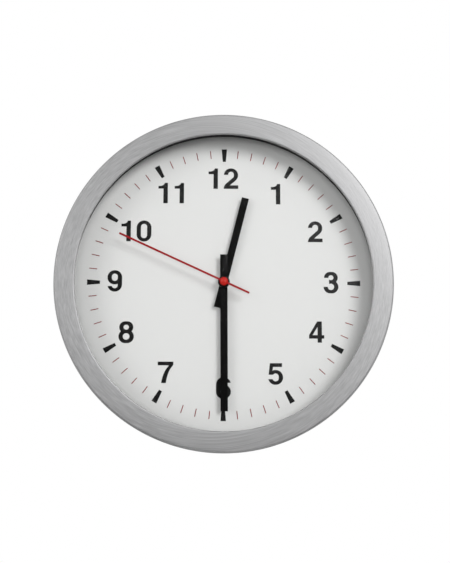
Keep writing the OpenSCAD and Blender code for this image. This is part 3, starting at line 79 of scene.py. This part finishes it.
camera_place = (-4.865 * MM, -747.1 * MM, -83.692 * MM)
camera_target = (1.101 * MM, 1.5 * MM, 1.249 * MM)
camera_roll = 0.236
lens_pixels, photo_height, sensor = 833.17, 563, 36
camera_data = bpy.data.cameras.new("camera")
camera_data.sensor_width = sensor
camera_data.lens = lens_pixels * sensor / photo_height
camera = bpy.data.objects.new("camera", camera_data)
bpy.context.scene.collection.objects.link(camera)
camera.matrix_world = aimed(camera_place, camera_target, camera_roll)
bpy.context.scene.camera = camera
bpy.context.scene.view_settings.view_transform = "Standard"


# Lamps: a key lamp at the upper right, a weaker and wider one at the upper left, and a small one
# by the camera. The small one only lifts the dial, so its glare on glass and metal is left out.
def soft_lamp(name, place, across, watts):
    """A round lamp, across metres wide, aimed at the clock's middle."""
    data = bpy.data.lights.new(name, "AREA")
    data.shape = "ELLIPSE"
    data.size = across
    data.size_y = across
    data.energy = watts
    lamp = bpy.data.objects.new(name, data)
    bpy.context.scene.collection.objects.link(lamp)
    lamp.matrix_world = aimed(place, (0, 0, 0))
    return lamp


soft_lamp("key_lamp", place=(1.06, -1.97, 0.81), across=1.1, watts=32)
soft_lamp("fill_lamp", place=(-1.85, -1.6, 0.6), across=1.3, watts=14)
camera_lamp = soft_lamp("camera_lamp", place=(-0.1, -2.45, 0.05), across=0.8, watts=10.5)
camera_lamp.visible_glossy = False
camera_lamp.visible_transmission = False


# Room: pale, but dark around the camera and towards the floor, for the grey that the metal
# mirrors. The backdrop is white to the camera, and in metal and glass down to near the floor.
def add_node(owner, kind, **values):
    """A new node of a material or world, its properties and input sockets set by name."""
    made = owner.node_tree.nodes.new("ShaderNode" + kind)
    for key, value in values.items():
        socket = key.replace("_", " ")
        if socket in made.inputs:
            made.inputs[socket].default_value = value
        else:
            setattr(made, key, value)
    return made


def wire(owner, start, out, end, into):
    owner.node_tree.links.new(start.outputs[out], end.inputs[into])


room_level = 0.5
world = bpy.data.worlds.new("pale_room")
bpy.context.scene.world = world
world.use_nodes = True
world.node_tree.nodes.clear()
way = add_node(world, "TexCoord")
way_parts = add_node(world, "SeparateXYZ")
off_camera = add_node(world, "MapRange", From_Min=-0.86, From_Max=-0.955, To_Min=1.0, To_Max=0.03)
off_floor = add_node(world, "MapRange", From_Min=-0.95, From_Max=-0.4, To_Min=0.02, To_Max=1.0)
pale = add_node(world, "Math", operation="MULTIPLY")
level = add_node(world, "Math", operation="MULTIPLY")
level.inputs[1].default_value = room_level
room = add_node(world, "Background", Color=(1, 1, 1, 1))
white = add_node(world, "Background", Color=(1, 1, 1, 1), Strength=1.0)
path = add_node(world, "LightPath")
mirrored = add_node(world, "Math", operation="MAXIMUM")
behind = add_node(world, "MapRange", From_Min=0.1, From_Max=0.6, To_Min=0.0, To_Max=1.0)
above_floor = add_node(world, "MapRange", From_Min=-0.75, From_Max=-0.4, To_Min=0.0, To_Max=1.0)
behind_above = add_node(world, "Math", operation="MULTIPLY")
mirrored_white = add_node(world, "Math", operation="MULTIPLY")
backdrop = add_node(world, "Math", operation="MAXIMUM")
seen = add_node(world, "MixShader")
room_out = add_node(world, "OutputWorld")
for link in (
        (way, "Generated", way_parts, 0),
        (way_parts, "Y", off_camera, "Value"), (way_parts, "Z", off_floor, "Value"),
        (off_camera, 0, pale, 0), (off_floor, 0, pale, 1),
        (pale, 0, level, 0), (level, 0, room, "Strength"),
        (way_parts, "Y", behind, "Value"), (way_parts, "Z", above_floor, "Value"),
        (behind, 0, behind_above, 0), (above_floor, 0, behind_above, 1),
        (path, "Is Glossy Ray", mirrored, 0), (path, "Is Transmission Ray", mirrored, 1),
        (mirrored, 0, mirrored_white, 0), (behind_above, 0, mirrored_white, 1),
        (path, "Is Camera Ray", backdrop, 0), (mirrored_white, 0, backdrop, 1),
        (backdrop, 0, seen, 0), (room, 0, seen, 1), (white, 0, seen, 2),
        (seen, 0, room_out, "Surface")):
    wire(world, *link)


# Floor: a plain pale disc, painted matt, far below the clock, which hangs as on a wall.
# It is a stage, and no part of the clock.
def deselect():
    bpy.ops.object.select_all(action="DESELECT")


def dress(piece, material):
    piece.data.materials.clear()
    piece.data.materials.append(material)


def shader_of(material):
    return material.node_tree.nodes["Principled BSDF"]


def finish_of(name, color, roughness, metallic=0.0, **sockets):
    """A material with one shader; sockets are named with _ for a space."""
    material = bpy.data.materials.new(name)
    material.use_nodes = True
    shader = shader_of(material)
    shader.inputs["Base Color"].default_value = (*color, 1)
    shader.inputs["Roughness"].default_value = roughness
    shader.inputs["Metallic"].default_value = metallic
    for socket, value in sockets.items():
        shader.inputs[socket.replace("_", " ")].default_value = value
    return material


floor_r, floor_z = 0.6, -1.2
deselect()
bpy.ops.mesh.primitive_circle_add(
    vertices=96, radius=floor_r, fill_type="NGON", location=(0, 0, floor_z))
floor = bpy.context.object
floor.name = "floor"
dress(floor, finish_of("floor_paint", (0.86, 0.86, 0.86), roughness=0.9))


# Rim: a ring spun from 1.2 mm aluminium sheet, with a rolled lip around the glass, and
# brushed around its circle. Four countersunk holes near the wall take its screws.
def turned(name, profile, steps=256):
    """A piece turned on the hand axis from its outline, given as (radius, y) in mm."""
    deselect()
    bpy.ops.mesh.primitive_plane_add(size=MM, location=(0, 0, 0))
    piece = bpy.context.object
    piece.name = name
    bpy.ops.object.mode_set(mode="EDIT")
    bpy.ops.mesh.select_all(action="SELECT")
    bpy.ops.mesh.merge(type="CENTER")
    r0, y0 = profile[0]
    bpy.ops.transform.translate(value=(r0 * MM, y0 * MM, 0))
    for r, y in profile[1:]:
        step = ((r - r0) * MM, (y - y0) * MM, 0)
        bpy.ops.mesh.extrude_region_move(TRANSFORM_OT_translate={"value": step})
        r0, y0 = r, y
    bpy.ops.mesh.select_all(action="SELECT")
    bpy.ops.mesh.spin(steps=steps, angle=2 * math.pi, center=(0, 0, 0), axis=(0, 1, 0))
    bpy.ops.mesh.select_all(action="SELECT")
    bpy.ops.mesh.remove_doubles(threshold=0.002 * MM)
    bpy.ops.mesh.normals_make_consistent(inside=False)
    bpy.ops.object.mode_set(mode="OBJECT")
    bpy.ops.object.shade_smooth_by_angle(angle=math.radians(35))
    return piece


def arc(r, y, radius, start, end, steps, deep=1.0):
    """Points of an arc around (r, y), from start to end degrees; 0 is outwards, 90 to the wall.
    It is an oval one where deep, its depth as a share of its radius, isn't 1."""
    angles = [math.radians(start + (end - start) * i / steps) for i in range(steps + 1)]
    return [(r + radius * math.cos(a), y + deep * radius * math.sin(a)) for a in angles]


def combine(piece, tool, operation):
    """Cuts tool out of piece, or joins it on, and removes the tool."""
    deselect()
    bpy.context.view_layer.objects.active = piece
    piece.select_set(True)
    modifier = piece.modifiers.new("combine", "BOOLEAN")
    modifier.object = tool
    modifier.operation = operation
    modifier.solver = "EXACT"
    bpy.ops.object.modifier_apply(modifier=modifier.name)
    bpy.data.objects.remove(tool)


def settle(piece):
    """Puts a finished piece's place into its mesh, as a CAD node's is."""
    deselect()
    bpy.context.view_layer.objects.active = piece
    piece.select_set(True)
    bpy.ops.object.transform_apply(location=True, rotation=True, scale=True)


def vary(material, pattern, out, color_spread, rough_spread, depth):
    """Lets a pattern vary a material's colour and roughness, and raise its surface by depth mm.
    The spreads are a share of the colour, and a step up and down in roughness."""
    pattern_low, pattern_high = 0.25, 0.75
    shader = shader_of(material)
    base = shader.inputs["Base Color"].default_value[:3]
    rough = shader.inputs["Roughness"].default_value
    ramp = add_node(material, "ValToRGB")
    darker, lighter = ramp.color_ramp.elements
    darker.position, lighter.position = pattern_low, pattern_high
    darker.color = (*[c * (1 - color_spread) for c in base], 1)
    lighter.color = (*[c * (1 + color_spread) for c in base], 1)
    wire(material, pattern, out, ramp, "Fac")
    wire(material, ramp, "Color", shader, "Base Color")
    spread = add_node(material, "MapRange", From_Min=pattern_low, From_Max=pattern_high,
                      To_Min=rough - rough_spread, To_Max=rough + rough_spread)
    wire(material, pattern, out, spread, "Value")
    wire(material, spread, "Result", shader, "Roughness")
    bump = add_node(material, "Bump", Distance=depth * MM, Strength=1.0)
    wire(material, pattern, out, bump, "Height")
    wire(material, bump, "Normal", shader, "Normal")


def ring_brushing(material, pitch, streaks, color_spread, rough_spread, depth):
    """Fine lines brushed around the hand axis, pitch mm apart and about streaks to a turn."""
    place = add_node(material, "TexCoord")
    parts = add_node(material, "SeparateXYZ")
    flat = add_node(material, "CombineXYZ")
    radius = add_node(material, "VectorMath", operation="LENGTH")
    turn = add_node(material, "VectorMath", operation="NORMALIZE")
    lines = add_node(material, "CombineXYZ")
    soft = add_node(material, "VectorMath", operation="SCALE",
                    Scale=pitch * MM * streaks / (2 * math.pi))
    total = add_node(material, "VectorMath", operation="ADD")
    noise = add_node(material, "TexNoise", Scale=1 / (pitch * MM), Detail=4.0, Roughness=0.7)
    wire(material, place, "Object", parts, "Vector")
    wire(material, parts, "X", flat, "X")
    wire(material, parts, "Z", flat, "Z")
    wire(material, flat, "Vector", radius, 0)
    wire(material, flat, "Vector", turn, 0)
    wire(material, radius, "Value", lines, "X")
    wire(material, parts, "Y", lines, "Y")
    wire(material, turn, "Vector", soft, 0)
    wire(material, lines, "Vector", total, 0)
    wire(material, soft, "Vector", total, 1)
    wire(material, total, "Vector", noise, "Vector")
    vary(material, noise, "Fac", color_spread, rough_spread, depth)


rim_r, rim_front, rim_back, rim_sheet = 150.0, -22.5, 22.5, 1.2
rim_corner, corner_deep = 2.6, 2.2
lip_r, lip_bend, lip_end = 131.0, 1.3, -20.5
side_rings, face_rings = (8, -8), (143.0, 138.0)
rim = turned("rim_spun", [
    (rim_r, rim_back), *[(rim_r, y) for y in side_rings],
    *arc(rim_r - rim_corner, rim_front + corner_deep * rim_corner, rim_corner,
         0, -90, steps=12, deep=corner_deep),
    *[(r, rim_front) for r in face_rings],
    *arc(lip_r + lip_bend, rim_front + lip_bend, lip_bend, -90, -180, steps=8),
    (lip_r, lip_end), (lip_r + rim_sheet, lip_end),
    *arc(lip_r + lip_bend, rim_front + lip_bend, lip_bend - rim_sheet, -180, -90, steps=4),
    *arc(rim_r - rim_corner, rim_front + rim_corner, rim_corner - rim_sheet, -90, 0, steps=8),
    (rim_r - rim_sheet, rim_back), (rim_r, rim_back)])
hole_y, hole_r, drill_long = 16.5, 1.45, 6
sink_r, sink_deep, sink_middle = 2.65, 1.3, 0.55
for side in (45, 135, 225, 315):
    turn = Matrix.Rotation(math.radians(side), 4, "Y")
    deselect()
    bpy.ops.mesh.primitive_cone_add(
        vertices=48, radius1=sink_r * MM, radius2=hole_r * MM, depth=sink_deep * MM)
    sink = bpy.context.object
    inwards = Matrix.Rotation(math.radians(-90), 4, "Y")
    sink_place = Matrix.Translation((rim_r * MM - sink_middle * MM, hole_y * MM, 0))
    sink.matrix_world = turn @ sink_place @ inwards
    combine(rim, sink, "DIFFERENCE")
    bpy.ops.mesh.primitive_cylinder_add(vertices=48, radius=hole_r * MM, depth=drill_long * MM)
    drill = bpy.context.object
    outwards = Matrix.Rotation(math.radians(90), 4, "Y")
    drill.matrix_world = turn @ Matrix.Translation((rim_r * MM, hole_y * MM, 0)) @ outwards
    combine(rim, drill, "DIFFERENCE")
brushed_aluminium = finish_of("brushed_aluminium", (0.465, 0.465, 0.469), roughness=0.59,
                              metallic=1.0, Anisotropic=0.25, Anisotropic_Rotation=0.25)
ring_brushing(brushed_aluminium, pitch=0.8, streaks=90,
              color_spread=0.28, rough_spread=0.08, depth=0.006)
around = add_node(brushed_aluminium, "Tangent", direction_type="RADIAL", axis="Y")
wire(brushed_aluminium, around, "Tangent", shader_of(brushed_aluminium), "Tangent")
dress(rim, brushed_aluminium)
settle(rim)
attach(rim, "clock_case")
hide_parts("rim")


# Lens: a round pane of 2 mm clear glass with its edge ground, held between the inner ring's
# seat and the foam gasket behind the lip. The lamps shine through it, so it casts no shadow.
lens_front, lens_back, lens_r, lens_bevel = -20.3, -18.3, 140.0, 0.3
lens = turned("lens_pane", [
    (0, lens_back), (lens_r - lens_bevel, lens_back), (lens_r, lens_back - lens_bevel),
    (lens_r, lens_front + lens_bevel), (lens_r - lens_bevel, lens_front), (0, lens_front)])
clear_glass = finish_of("clear_glass", (1, 1, 1), roughness=0.0,
                        Transmission_Weight=1.0, IOR=1.45, Specular_IOR_Level=0.25)
light_path = add_node(clear_glass, "LightPath")
open_way = add_node(clear_glass, "BsdfTransparent")
either = add_node(clear_glass, "Math", operation="MAXIMUM")
glass_mix = add_node(clear_glass, "MixShader")
glass_out = clear_glass.node_tree.nodes["Material Output"]
wire(clear_glass, light_path, "Is Shadow Ray", either, 0)
wire(clear_glass, light_path, "Is Diffuse Ray", either, 1)
wire(clear_glass, either, "Value", glass_mix, "Fac")
wire(clear_glass, shader_of(clear_glass), "BSDF", glass_mix, 1)
wire(clear_glass, open_way, "BSDF", glass_mix, 2)
wire(clear_glass, glass_mix, "Shader", glass_out, "Surface")
dress(lens, clear_glass)
settle(lens)
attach(lens, "clock_case")
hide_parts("lens")


# Dial: a disc of thin sheet metal, punched, lacquered white and then printed. The nut on the
# movement's bush holds it.
def speckle(material, grain, color_spread, rough_spread, depth, detail=3.0):
    """A fine random grain, grain mm across, over the whole piece."""
    place = add_node(material, "TexCoord")
    noise = add_node(material, "TexNoise", Scale=1 / (grain * MM), Detail=detail, Roughness=0.6)
    wire(material, place, "Object", noise, "Vector")
    vary(material, noise, "Fac", color_spread, rough_spread, depth)


dial_front, dial_back, dial_r, dial_edge, dial_hole = 1.5, 2.3, 135.3, 0.1, 4.3
dial_rings = (60, 120)
dial = turned("dial_sheet", [
    (dial_hole, dial_front), *[(r, dial_front) for r in dial_rings],
    (dial_r - dial_edge, dial_front), (dial_r, dial_front + dial_edge),
    (dial_r, dial_back), (dial_hole, dial_back), (dial_hole, dial_front)])
dial_lacquer = finish_of("dial_lacquer", (0.725, 0.73, 0.72), roughness=0.55,
                         Specular_IOR_Level=0.3)
speckle(dial_lacquer, grain=0.6, color_spread=0.012, rough_spread=0.05, depth=0.002)
dress(dial, dial_lacquer)
settle(dial)
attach(dial, "clock_case")
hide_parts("dial")


# Hour marks and numerals: twelve tapered bars and the plain numbers 1 to 12, in an opaque
# black ink that is screen printed on the dial's lacquer.
def keep_node(names, material):
    """Gives CAD nodes, whose shapes are right, a better material."""
    for name in names:
        dress(frame["nodes"][name], material)


black_ink = finish_of("black_ink", (0.0015, 0.0015, 0.0015), roughness=0.42,
                      Specular_IOR_Level=0.25)
speckle(black_ink, grain=0.35, color_spread=0.25, rough_spread=0.06, depth=0.004)
keep_node(["hour_marks", "numerals"], black_ink)


# Minute marks: 48 thin red bars, screen printed as the second ink. Their corners ran a little
# round in printing.
mark_low, mark_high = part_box("minute_marks")
mark_in, mark_out, mark_w, mark_round = 115.1, 122.4, 0.72, 0.12
deselect()
bpy.ops.mesh.primitive_cube_add(
    size=1, location=(0, (mark_low[1] + mark_high[1]) / 2, (mark_in + mark_out) / 2 * MM))
mark = bpy.context.object
mark.scale = (mark_w * MM, mark_high[1] - mark_low[1], (mark_out - mark_in) * MM)
settle(mark)
same_place = 0.01 * MM
for edge in mark.data.edges:
    a, b = (mark.data.vertices[i].co for i in edge.vertices)
    edge.select = abs(a.x - b.x) < same_place and abs(a.z - b.z) < same_place
for face in mark.data.polygons:
    face.select = False
bpy.ops.object.mode_set(mode="EDIT")
bpy.ops.mesh.select_mode(type="EDGE")
bpy.ops.mesh.bevel(offset=mark_round * MM, segments=3)
bpy.ops.mesh.select_mode(type="VERT")
bpy.ops.object.mode_set(mode="OBJECT")
copies = []
for minute in range(60):
    if minute % 5:
        copy = mark.copy()
        copy.data = mark.data.copy()
        copy.matrix_world = Matrix.Rotation(math.radians(6 * minute), 4, "Y")
        bpy.context.scene.collection.objects.link(copy)
        copies.append(copy)
bpy.data.objects.remove(mark)
deselect()
for copy in copies:
    copy.select_set(True)
minute_marks = copies[0]
bpy.context.view_layer.objects.active = minute_marks
bpy.ops.object.join()
minute_marks.name = "minute_marks_print"
settle(minute_marks)
red_ink = finish_of("red_ink", (0.23, 0.006, 0.010), roughness=0.45, Specular_IOR_Level=0.25)
speckle(red_ink, grain=0.35, color_spread=0.12, rough_spread=0.06, depth=0.004)
dress(minute_marks, red_ink)
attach(minute_marks, "clock_case")
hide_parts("minute_marks")


# Hour and minute hands: straight strips punched from thin aluminium and lacquered black. Their
# round eyes are pressed on, the hour hand's on its collet and the minute hand's on its tube.
def hand(name, length, tail, width, back, thickness, eye_r, bore_r, clock_angle):
    """A straight hand with square ends, pointing clock_angle degrees clockwise from twelve."""
    middle = back - thickness / 2
    drill_long, edge_round = 4 * thickness, 0.16 * thickness
    faces_front = (math.pi / 2, 0, 0)
    deselect()
    bpy.ops.mesh.primitive_cube_add(size=1, location=(0, middle * MM, (length - tail) / 2 * MM))
    strip = bpy.context.object
    strip.name = name
    strip.scale = (width * MM, thickness * MM, (length + tail) * MM)
    settle(strip)
    deselect()
    bpy.ops.mesh.primitive_cylinder_add(
        vertices=96, radius=eye_r * MM, depth=thickness * MM,
        location=(0, middle * MM, 0), rotation=faces_front)
    combine(strip, bpy.context.object, "UNION")
    deselect()
    bpy.ops.mesh.primitive_cylinder_add(
        vertices=64, radius=bore_r * MM, depth=drill_long * MM,
        location=(0, middle * MM, 0), rotation=faces_front)
    combine(strip, bpy.context.object, "DIFFERENCE")
    bevel = strip.modifiers.new("edge", "BEVEL")
    bevel.width = edge_round * MM
    bevel.segments = 3
    bevel.limit_method = "ANGLE"
    bevel.angle_limit = math.radians(40)
    bpy.ops.object.modifier_apply(modifier=bevel.name)
    bpy.ops.object.shade_smooth_by_angle(angle=math.radians(15))
    strip.matrix_world = Matrix.Rotation(math.radians(clock_angle), 4, "Y")
    settle(strip)
    return strip


black_lacquer = finish_of("black_lacquer", (0.003, 0.003, 0.003), roughness=0.26,
                          Specular_IOR_Level=0.14)
speckle(black_lacquer, grain=0.25, color_spread=0.2, rough_spread=0.05, depth=0.002)
hour_hand = hand("hour_hand_strip", length=79.4, tail=23.4, width=6.5, back=-2.7, thickness=0.6,
                 eye_r=4.6, bore_r=3.6, clock_angle=14.1)
dress(hour_hand, black_lacquer)
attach(hour_hand, "hour_train")
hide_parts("hour_hand")
minute_hand = hand("minute_hand_strip", length=114.6, tail=25.0, width=6.5, back=-4.5,
                   thickness=0.6, eye_r=5.0, bore_r=1.6, clock_angle=179.6)
dress(minute_hand, black_lacquer)
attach(minute_hand, "minute_train")
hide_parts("minute_hand")


# Boss: a round ring with a rounded front edge, moulded from black plastic. It is pressed on in
# front of the minute hand and hides its eye.
boss_bore, boss_r, boss_round, boss_back, boss_front = 1.6, 5.3, 1.3, -5.1, -8.7
boss = turned("minute_boss_ring", [
    (boss_bore, boss_back), (boss_r, boss_back),
    *arc(boss_r - boss_round, boss_front + boss_round, boss_round, 0, -90, steps=12),
    (boss_bore, boss_front), (boss_bore, boss_back)], steps=96)
boss_gloss = finish_of("boss_gloss", (0.003, 0.003, 0.003), roughness=0.3,
                       Specular_IOR_Level=0.14)
speckle(boss_gloss, grain=0.5, color_spread=0.15, rough_spread=0.05, depth=0.002)
dress(boss, boss_gloss)
settle(boss)
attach(boss, "minute_train")
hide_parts("minute_boss")


# Second hand: a narrow straight strip punched from thin sheet and lacquered red. Its eye sits
# in front of a collet, pressed on the second arbor.
red_lacquer = finish_of("red_lacquer", (0.29, 0.004, 0.009), roughness=0.35,
                        Specular_IOR_Level=0.25)
speckle(red_lacquer, grain=0.25, color_spread=0.1, rough_spread=0.06, depth=0.003)
second_hand = hand("second_hand_strip", length=102.9, tail=24.8, width=1.8, back=-11.3,
                   thickness=0.4, eye_r=2.35, bore_r=0.75, clock_angle=294.6)
dress(second_hand, red_lacquer)
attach(second_hand, "second_train")
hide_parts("second_hand")


# Cap: a low dome moulded from glossy red plastic, pressed over the eye of the second hand.
# Its front is a part of a sphere, with a small chamfer around the back.
cap_r, cap_h, cap_back, cap_chamfer = 3.7, 1.8, -11.7, 0.1
cap_sphere = (cap_r ** 2 + cap_h ** 2) / (2 * cap_h)
cap_edge = math.degrees(math.asin((cap_r - cap_chamfer / 2) / cap_sphere))
cap = turned("second_cap_dome", [
    (0, cap_back), (cap_r - cap_chamfer, cap_back), (cap_r, cap_back - cap_chamfer),
    *arc(0, cap_back - cap_h + cap_sphere, cap_sphere, -90 + cap_edge, -90, steps=16)], steps=96)
red_gloss = finish_of("red_gloss", (0.50, 0.010, 0.005), roughness=0.16, Specular_IOR_Level=0.4)
speckle(red_gloss, grain=1.2, color_spread=0.08, rough_spread=0.03, depth=0.002)
dress(cap, red_gloss)
settle(cap)
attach(cap, "second_train")
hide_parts("second_cap")


# Back shell: one moulding in black plastic with a fine grain, with ribs, webs and bosses.
# It carries the rim, the glass, the dial and the movement.
black_moulding = finish_of("black_moulding", (0.020, 0.020, 0.022), roughness=0.5)
speckle(black_moulding, grain=0.3, color_spread=0.15, rough_spread=0.08, depth=0.01)
keep_node(["back_shell"], black_moulding)


# Setting knob: a small knob with grooves around it at the back of the movement, moulded from
# the same black plastic as the shell and pressed on the setting arbor.
def softened(node, body, material, edge, name):
    """A CAD node's shape with its edges rounded by edge mm, as moulded or pressed parts have."""
    deselect()
    piece = frame["nodes"][node].copy()
    piece.data = frame["nodes"][node].data.copy()
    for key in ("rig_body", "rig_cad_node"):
        del piece[key]
    piece.name = name
    piece.parent = None
    bpy.context.scene.collection.objects.link(piece)
    bpy.context.view_layer.objects.active = piece
    piece.select_set(True)
    bpy.ops.object.mode_set(mode="EDIT")
    bpy.ops.mesh.select_all(action="SELECT")
    bpy.ops.mesh.remove_doubles(threshold=0.001 * MM)
    bpy.ops.mesh.dissolve_limited(angle_limit=math.radians(0.5))
    bpy.ops.object.mode_set(mode="OBJECT")
    bevel = piece.modifiers.new("edges", "BEVEL")
    bevel.width = edge * MM
    bevel.segments = 2
    bevel.limit_method = "ANGLE"
    bevel.angle_limit = math.radians(40)
    bevel.use_clamp_overlap = True
    bpy.ops.object.modifier_apply(modifier=bevel.name)
    bpy.ops.object.shade_smooth_by_angle(angle=math.radians(32))
    dress(piece, material)
    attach(piece, body)
    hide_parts(node)


softened("setting_knob", "setting_train", black_moulding, edge=0.25,
         name="setting_knob_moulding")


# Inner ring: the dark wall between the dial and the glass, a black moulding of its own. Its
# black is darker than the back shell's, and that extra darkness is painted shade for the band
# under the lip. It carries the glass, and pegs hold it on the back shell.
ring_black_and_painted_shade = finish_of("ring_black_and_painted_shade", (0.006, 0.006, 0.006), roughness=0.5,
                       Specular_IOR_Level=0.3)
speckle(ring_black_and_painted_shade, grain=0.3, color_spread=0.15, rough_spread=0.08, depth=0.01)
keep_node(["inner_ring"], ring_black_and_painted_shade)


# Movement case and cover: two mouldings in dark grey plastic that snap together around the
# wheels and the motor. The battery's bay is open at the back of the case.
case_moulding = finish_of("case_moulding", (0.026, 0.026, 0.028), roughness=0.42)
speckle(case_moulding, grain=0.25, color_spread=0.15, rough_spread=0.08, depth=0.008)
keep_node(["movement_case"], case_moulding)
softened("movement_cover", "clock_case", case_moulding, edge=0.4,
         name="movement_cover_moulding")


# Steel fittings: the screws, the second arbor and the hanger, zinc plated. The hanger is
# pressed from sheet and screwed to the shell.
zinc_plate = finish_of("zinc_plate", (0.62, 0.63, 0.64), roughness=0.32, metallic=1.0)
speckle(zinc_plate, grain=0.8, color_spread=0.1, rough_spread=0.1, depth=0.003)
keep_node(["rim_screws", "hanger_screws", "plate_screws", "second_arbor"], zinc_plate)
softened("hanger_plate", "clock_case", zinc_plate, edge=0.2,
         name="hanger_plate_pressing")


# Brass pieces: the bush through the dial, the minute hand's tube with its pinion, and the
# collets of the hour and the second hand. The lathe's tool leaves fine rings.
turned_brass = finish_of("turned_brass", (0.80, 0.58, 0.27), roughness=0.3, metallic=1.0)
ring_brushing(turned_brass, pitch=0.12, streaks=14,
              color_spread=0.08, rough_spread=0.08, depth=0.003)
keep_node(["threaded_bush", "minute_arbor", "hour_collet", "second_collet"], turned_brass)


# Fixing washer and nut: the hexagonal nut on the bush clamps the dial through the washer.
# Both are lacquered white like the dial, so that they don't stand out behind the hands.
keep_node(["fixing_washer", "hex_nut"], dial_lacquer)


# Rubber and foam: the soft washer behind the dial, and the ring in front of the glass that
# keeps it from rattling. Both are punched from black sheet.
black_rubber = finish_of("black_rubber", (0.03, 0.03, 0.03), roughness=0.8)
speckle(black_rubber, grain=0.4, color_spread=0.3, rough_spread=0.08, depth=0.02)
keep_node(["rubber_washer", "lens_gasket"], black_rubber)


# Wheels: moulded from unpainted acetal, slightly translucent, each in one piece with its
# pinion. The plate in front of the motor, an arbor and the bobbin are of the same plastic.
acetal = finish_of("acetal", (0.80, 0.78, 0.72), roughness=0.38,
                   Subsurface_Weight=0.1, Subsurface_Scale=0.0008)
speckle(acetal, grain=0.5, color_spread=0.03, rough_spread=0.06, depth=0.003)
keep_node(["second_wheel", "third_wheel", "centre_wheel", "motion_wheel", "hour_wheel",
           "intermediate_wheel", "rotor_pinion", "setting_arbor", "mid_plate", "coil_bobbin"],
          acetal)


# Motor: a sintered magnet on the rotor's pinion, between the poles of an iron stator that is
# stamped from sheet, and a coil of enamelled copper wire around its core.
ferrite = finish_of("ferrite", (0.10, 0.10, 0.11), roughness=0.55, metallic=0.3)
speckle(ferrite, grain=0.2, color_spread=0.3, rough_spread=0.1, depth=0.008)
keep_node(["rotor_magnet"], ferrite)
stamped_iron = finish_of("stamped_iron", (0.45, 0.45, 0.46), roughness=0.35, metallic=1.0)
speckle(stamped_iron, grain=0.6, color_spread=0.12, rough_spread=0.1, depth=0.003)
keep_node(["stator", "coil_core"], stamped_iron)
wire_pitch = 0.9
copper_wire = finish_of("copper_wire", (0.72, 0.28, 0.12), roughness=0.28, metallic=1.0)
turns_place = add_node(copper_wire, "TexCoord")
turns = add_node(copper_wire, "TexWave", bands_direction="X", Scale=1 / (wire_pitch * MM),
                 Distortion=0.4)
wire(copper_wire, turns_place, "Object", turns, "Vector")
vary(copper_wire, turns, "Fac", color_spread=0.2, rough_spread=0.08, depth=0.06)
keep_node(["coil_winding", "coil_wires"], copper_wire)


# Circuit: a small green board on pins of the case, with black resin cast over its chip, and
# the quartz crystal in a drawn can. The battery's can has the same bright finish.
board_mask = finish_of("board_mask", (0.03, 0.17, 0.07), roughness=0.35)
speckle(board_mask, grain=1.5, color_spread=0.3, rough_spread=0.08, depth=0.01, detail=0.0)
keep_node(["circuit_board"], board_mask)
black_resin = finish_of("black_resin", (0.012, 0.012, 0.012), roughness=0.22)
speckle(black_resin, grain=0.8, color_spread=0.2, rough_spread=0.06, depth=0.01)
keep_node(["chip_cover"], black_resin)
drawn_can = finish_of("drawn_can", (0.75, 0.75, 0.76), roughness=0.2, metallic=1.0)
speckle(drawn_can, grain=0.8, color_spread=0.06, rough_spread=0.06, depth=0.002)
keep_node(["quartz_crystal", "battery_can"], drawn_can)


# Battery contacts: plates of plated brass strip at the two ends of the bay, one with a bent
# leaf that springs. Their strips run along the wall to the circuit board.
contact_strip = finish_of("contact_strip", (0.78, 0.72, 0.58), roughness=0.26, metallic=1.0)
speckle(contact_strip, grain=0.7, color_spread=0.08, rough_spread=0.08, depth=0.002)
keep_node(["contact_positive", "contact_negative"], contact_strip)


# Battery sleeve: printed film shrunk around the can, plain blue with a pale band near the end
# of the button, and without any words. The band's place is a share of the sleeve's length.
band_start, band_stop, band_color = 0.80, 0.87, (0.62, 0.64, 0.66, 1)
sleeve_print = finish_of("sleeve_print", (0.05, 0.07, 0.11), roughness=0.25)
speckle(sleeve_print, grain=1.0, color_spread=0.15, rough_spread=0.06, depth=0.003)
sleeve_low, sleeve_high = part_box("battery_sleeve")
sleeve_place = add_node(sleeve_print, "TexCoord")
sleeve_parts = add_node(sleeve_print, "SeparateXYZ")
along = add_node(sleeve_print, "MapRange", From_Min=sleeve_low[0], From_Max=sleeve_high[0])
band = add_node(sleeve_print, "ValToRGB")
band.color_ramp.interpolation = "CONSTANT"
band.color_ramp.elements[0].color = (0, 0, 0, 1)
band.color_ramp.elements[1].position = band_start
band.color_ramp.elements[1].color = (1, 1, 1, 1)
band.color_ramp.elements.new(band_stop).color = (0, 0, 0, 1)
mix_share, mix_first, mix_second, mix_color = 0, 6, 7, 2  # the Mix node's sockets
banded = add_node(sleeve_print, "Mix", data_type="RGBA")
banded.inputs[mix_second].default_value = band_color
sleeve_shader = shader_of(sleeve_print)
sleeve_color = sleeve_shader.inputs["Base Color"].links[0].from_node
wire(sleeve_print, sleeve_place, "Object", sleeve_parts, "Vector")
wire(sleeve_print, sleeve_parts, "X", along, "Value")
wire(sleeve_print, along, "Result", band, "Fac")
wire(sleeve_print, band, "Color", banded, mix_share)
wire(sleeve_print, sleeve_color, "Color", banded, mix_first)
wire(sleeve_print, banded, mix_color, sleeve_shader, "Base Color")
keep_node(["battery_sleeve"], sleeve_print)
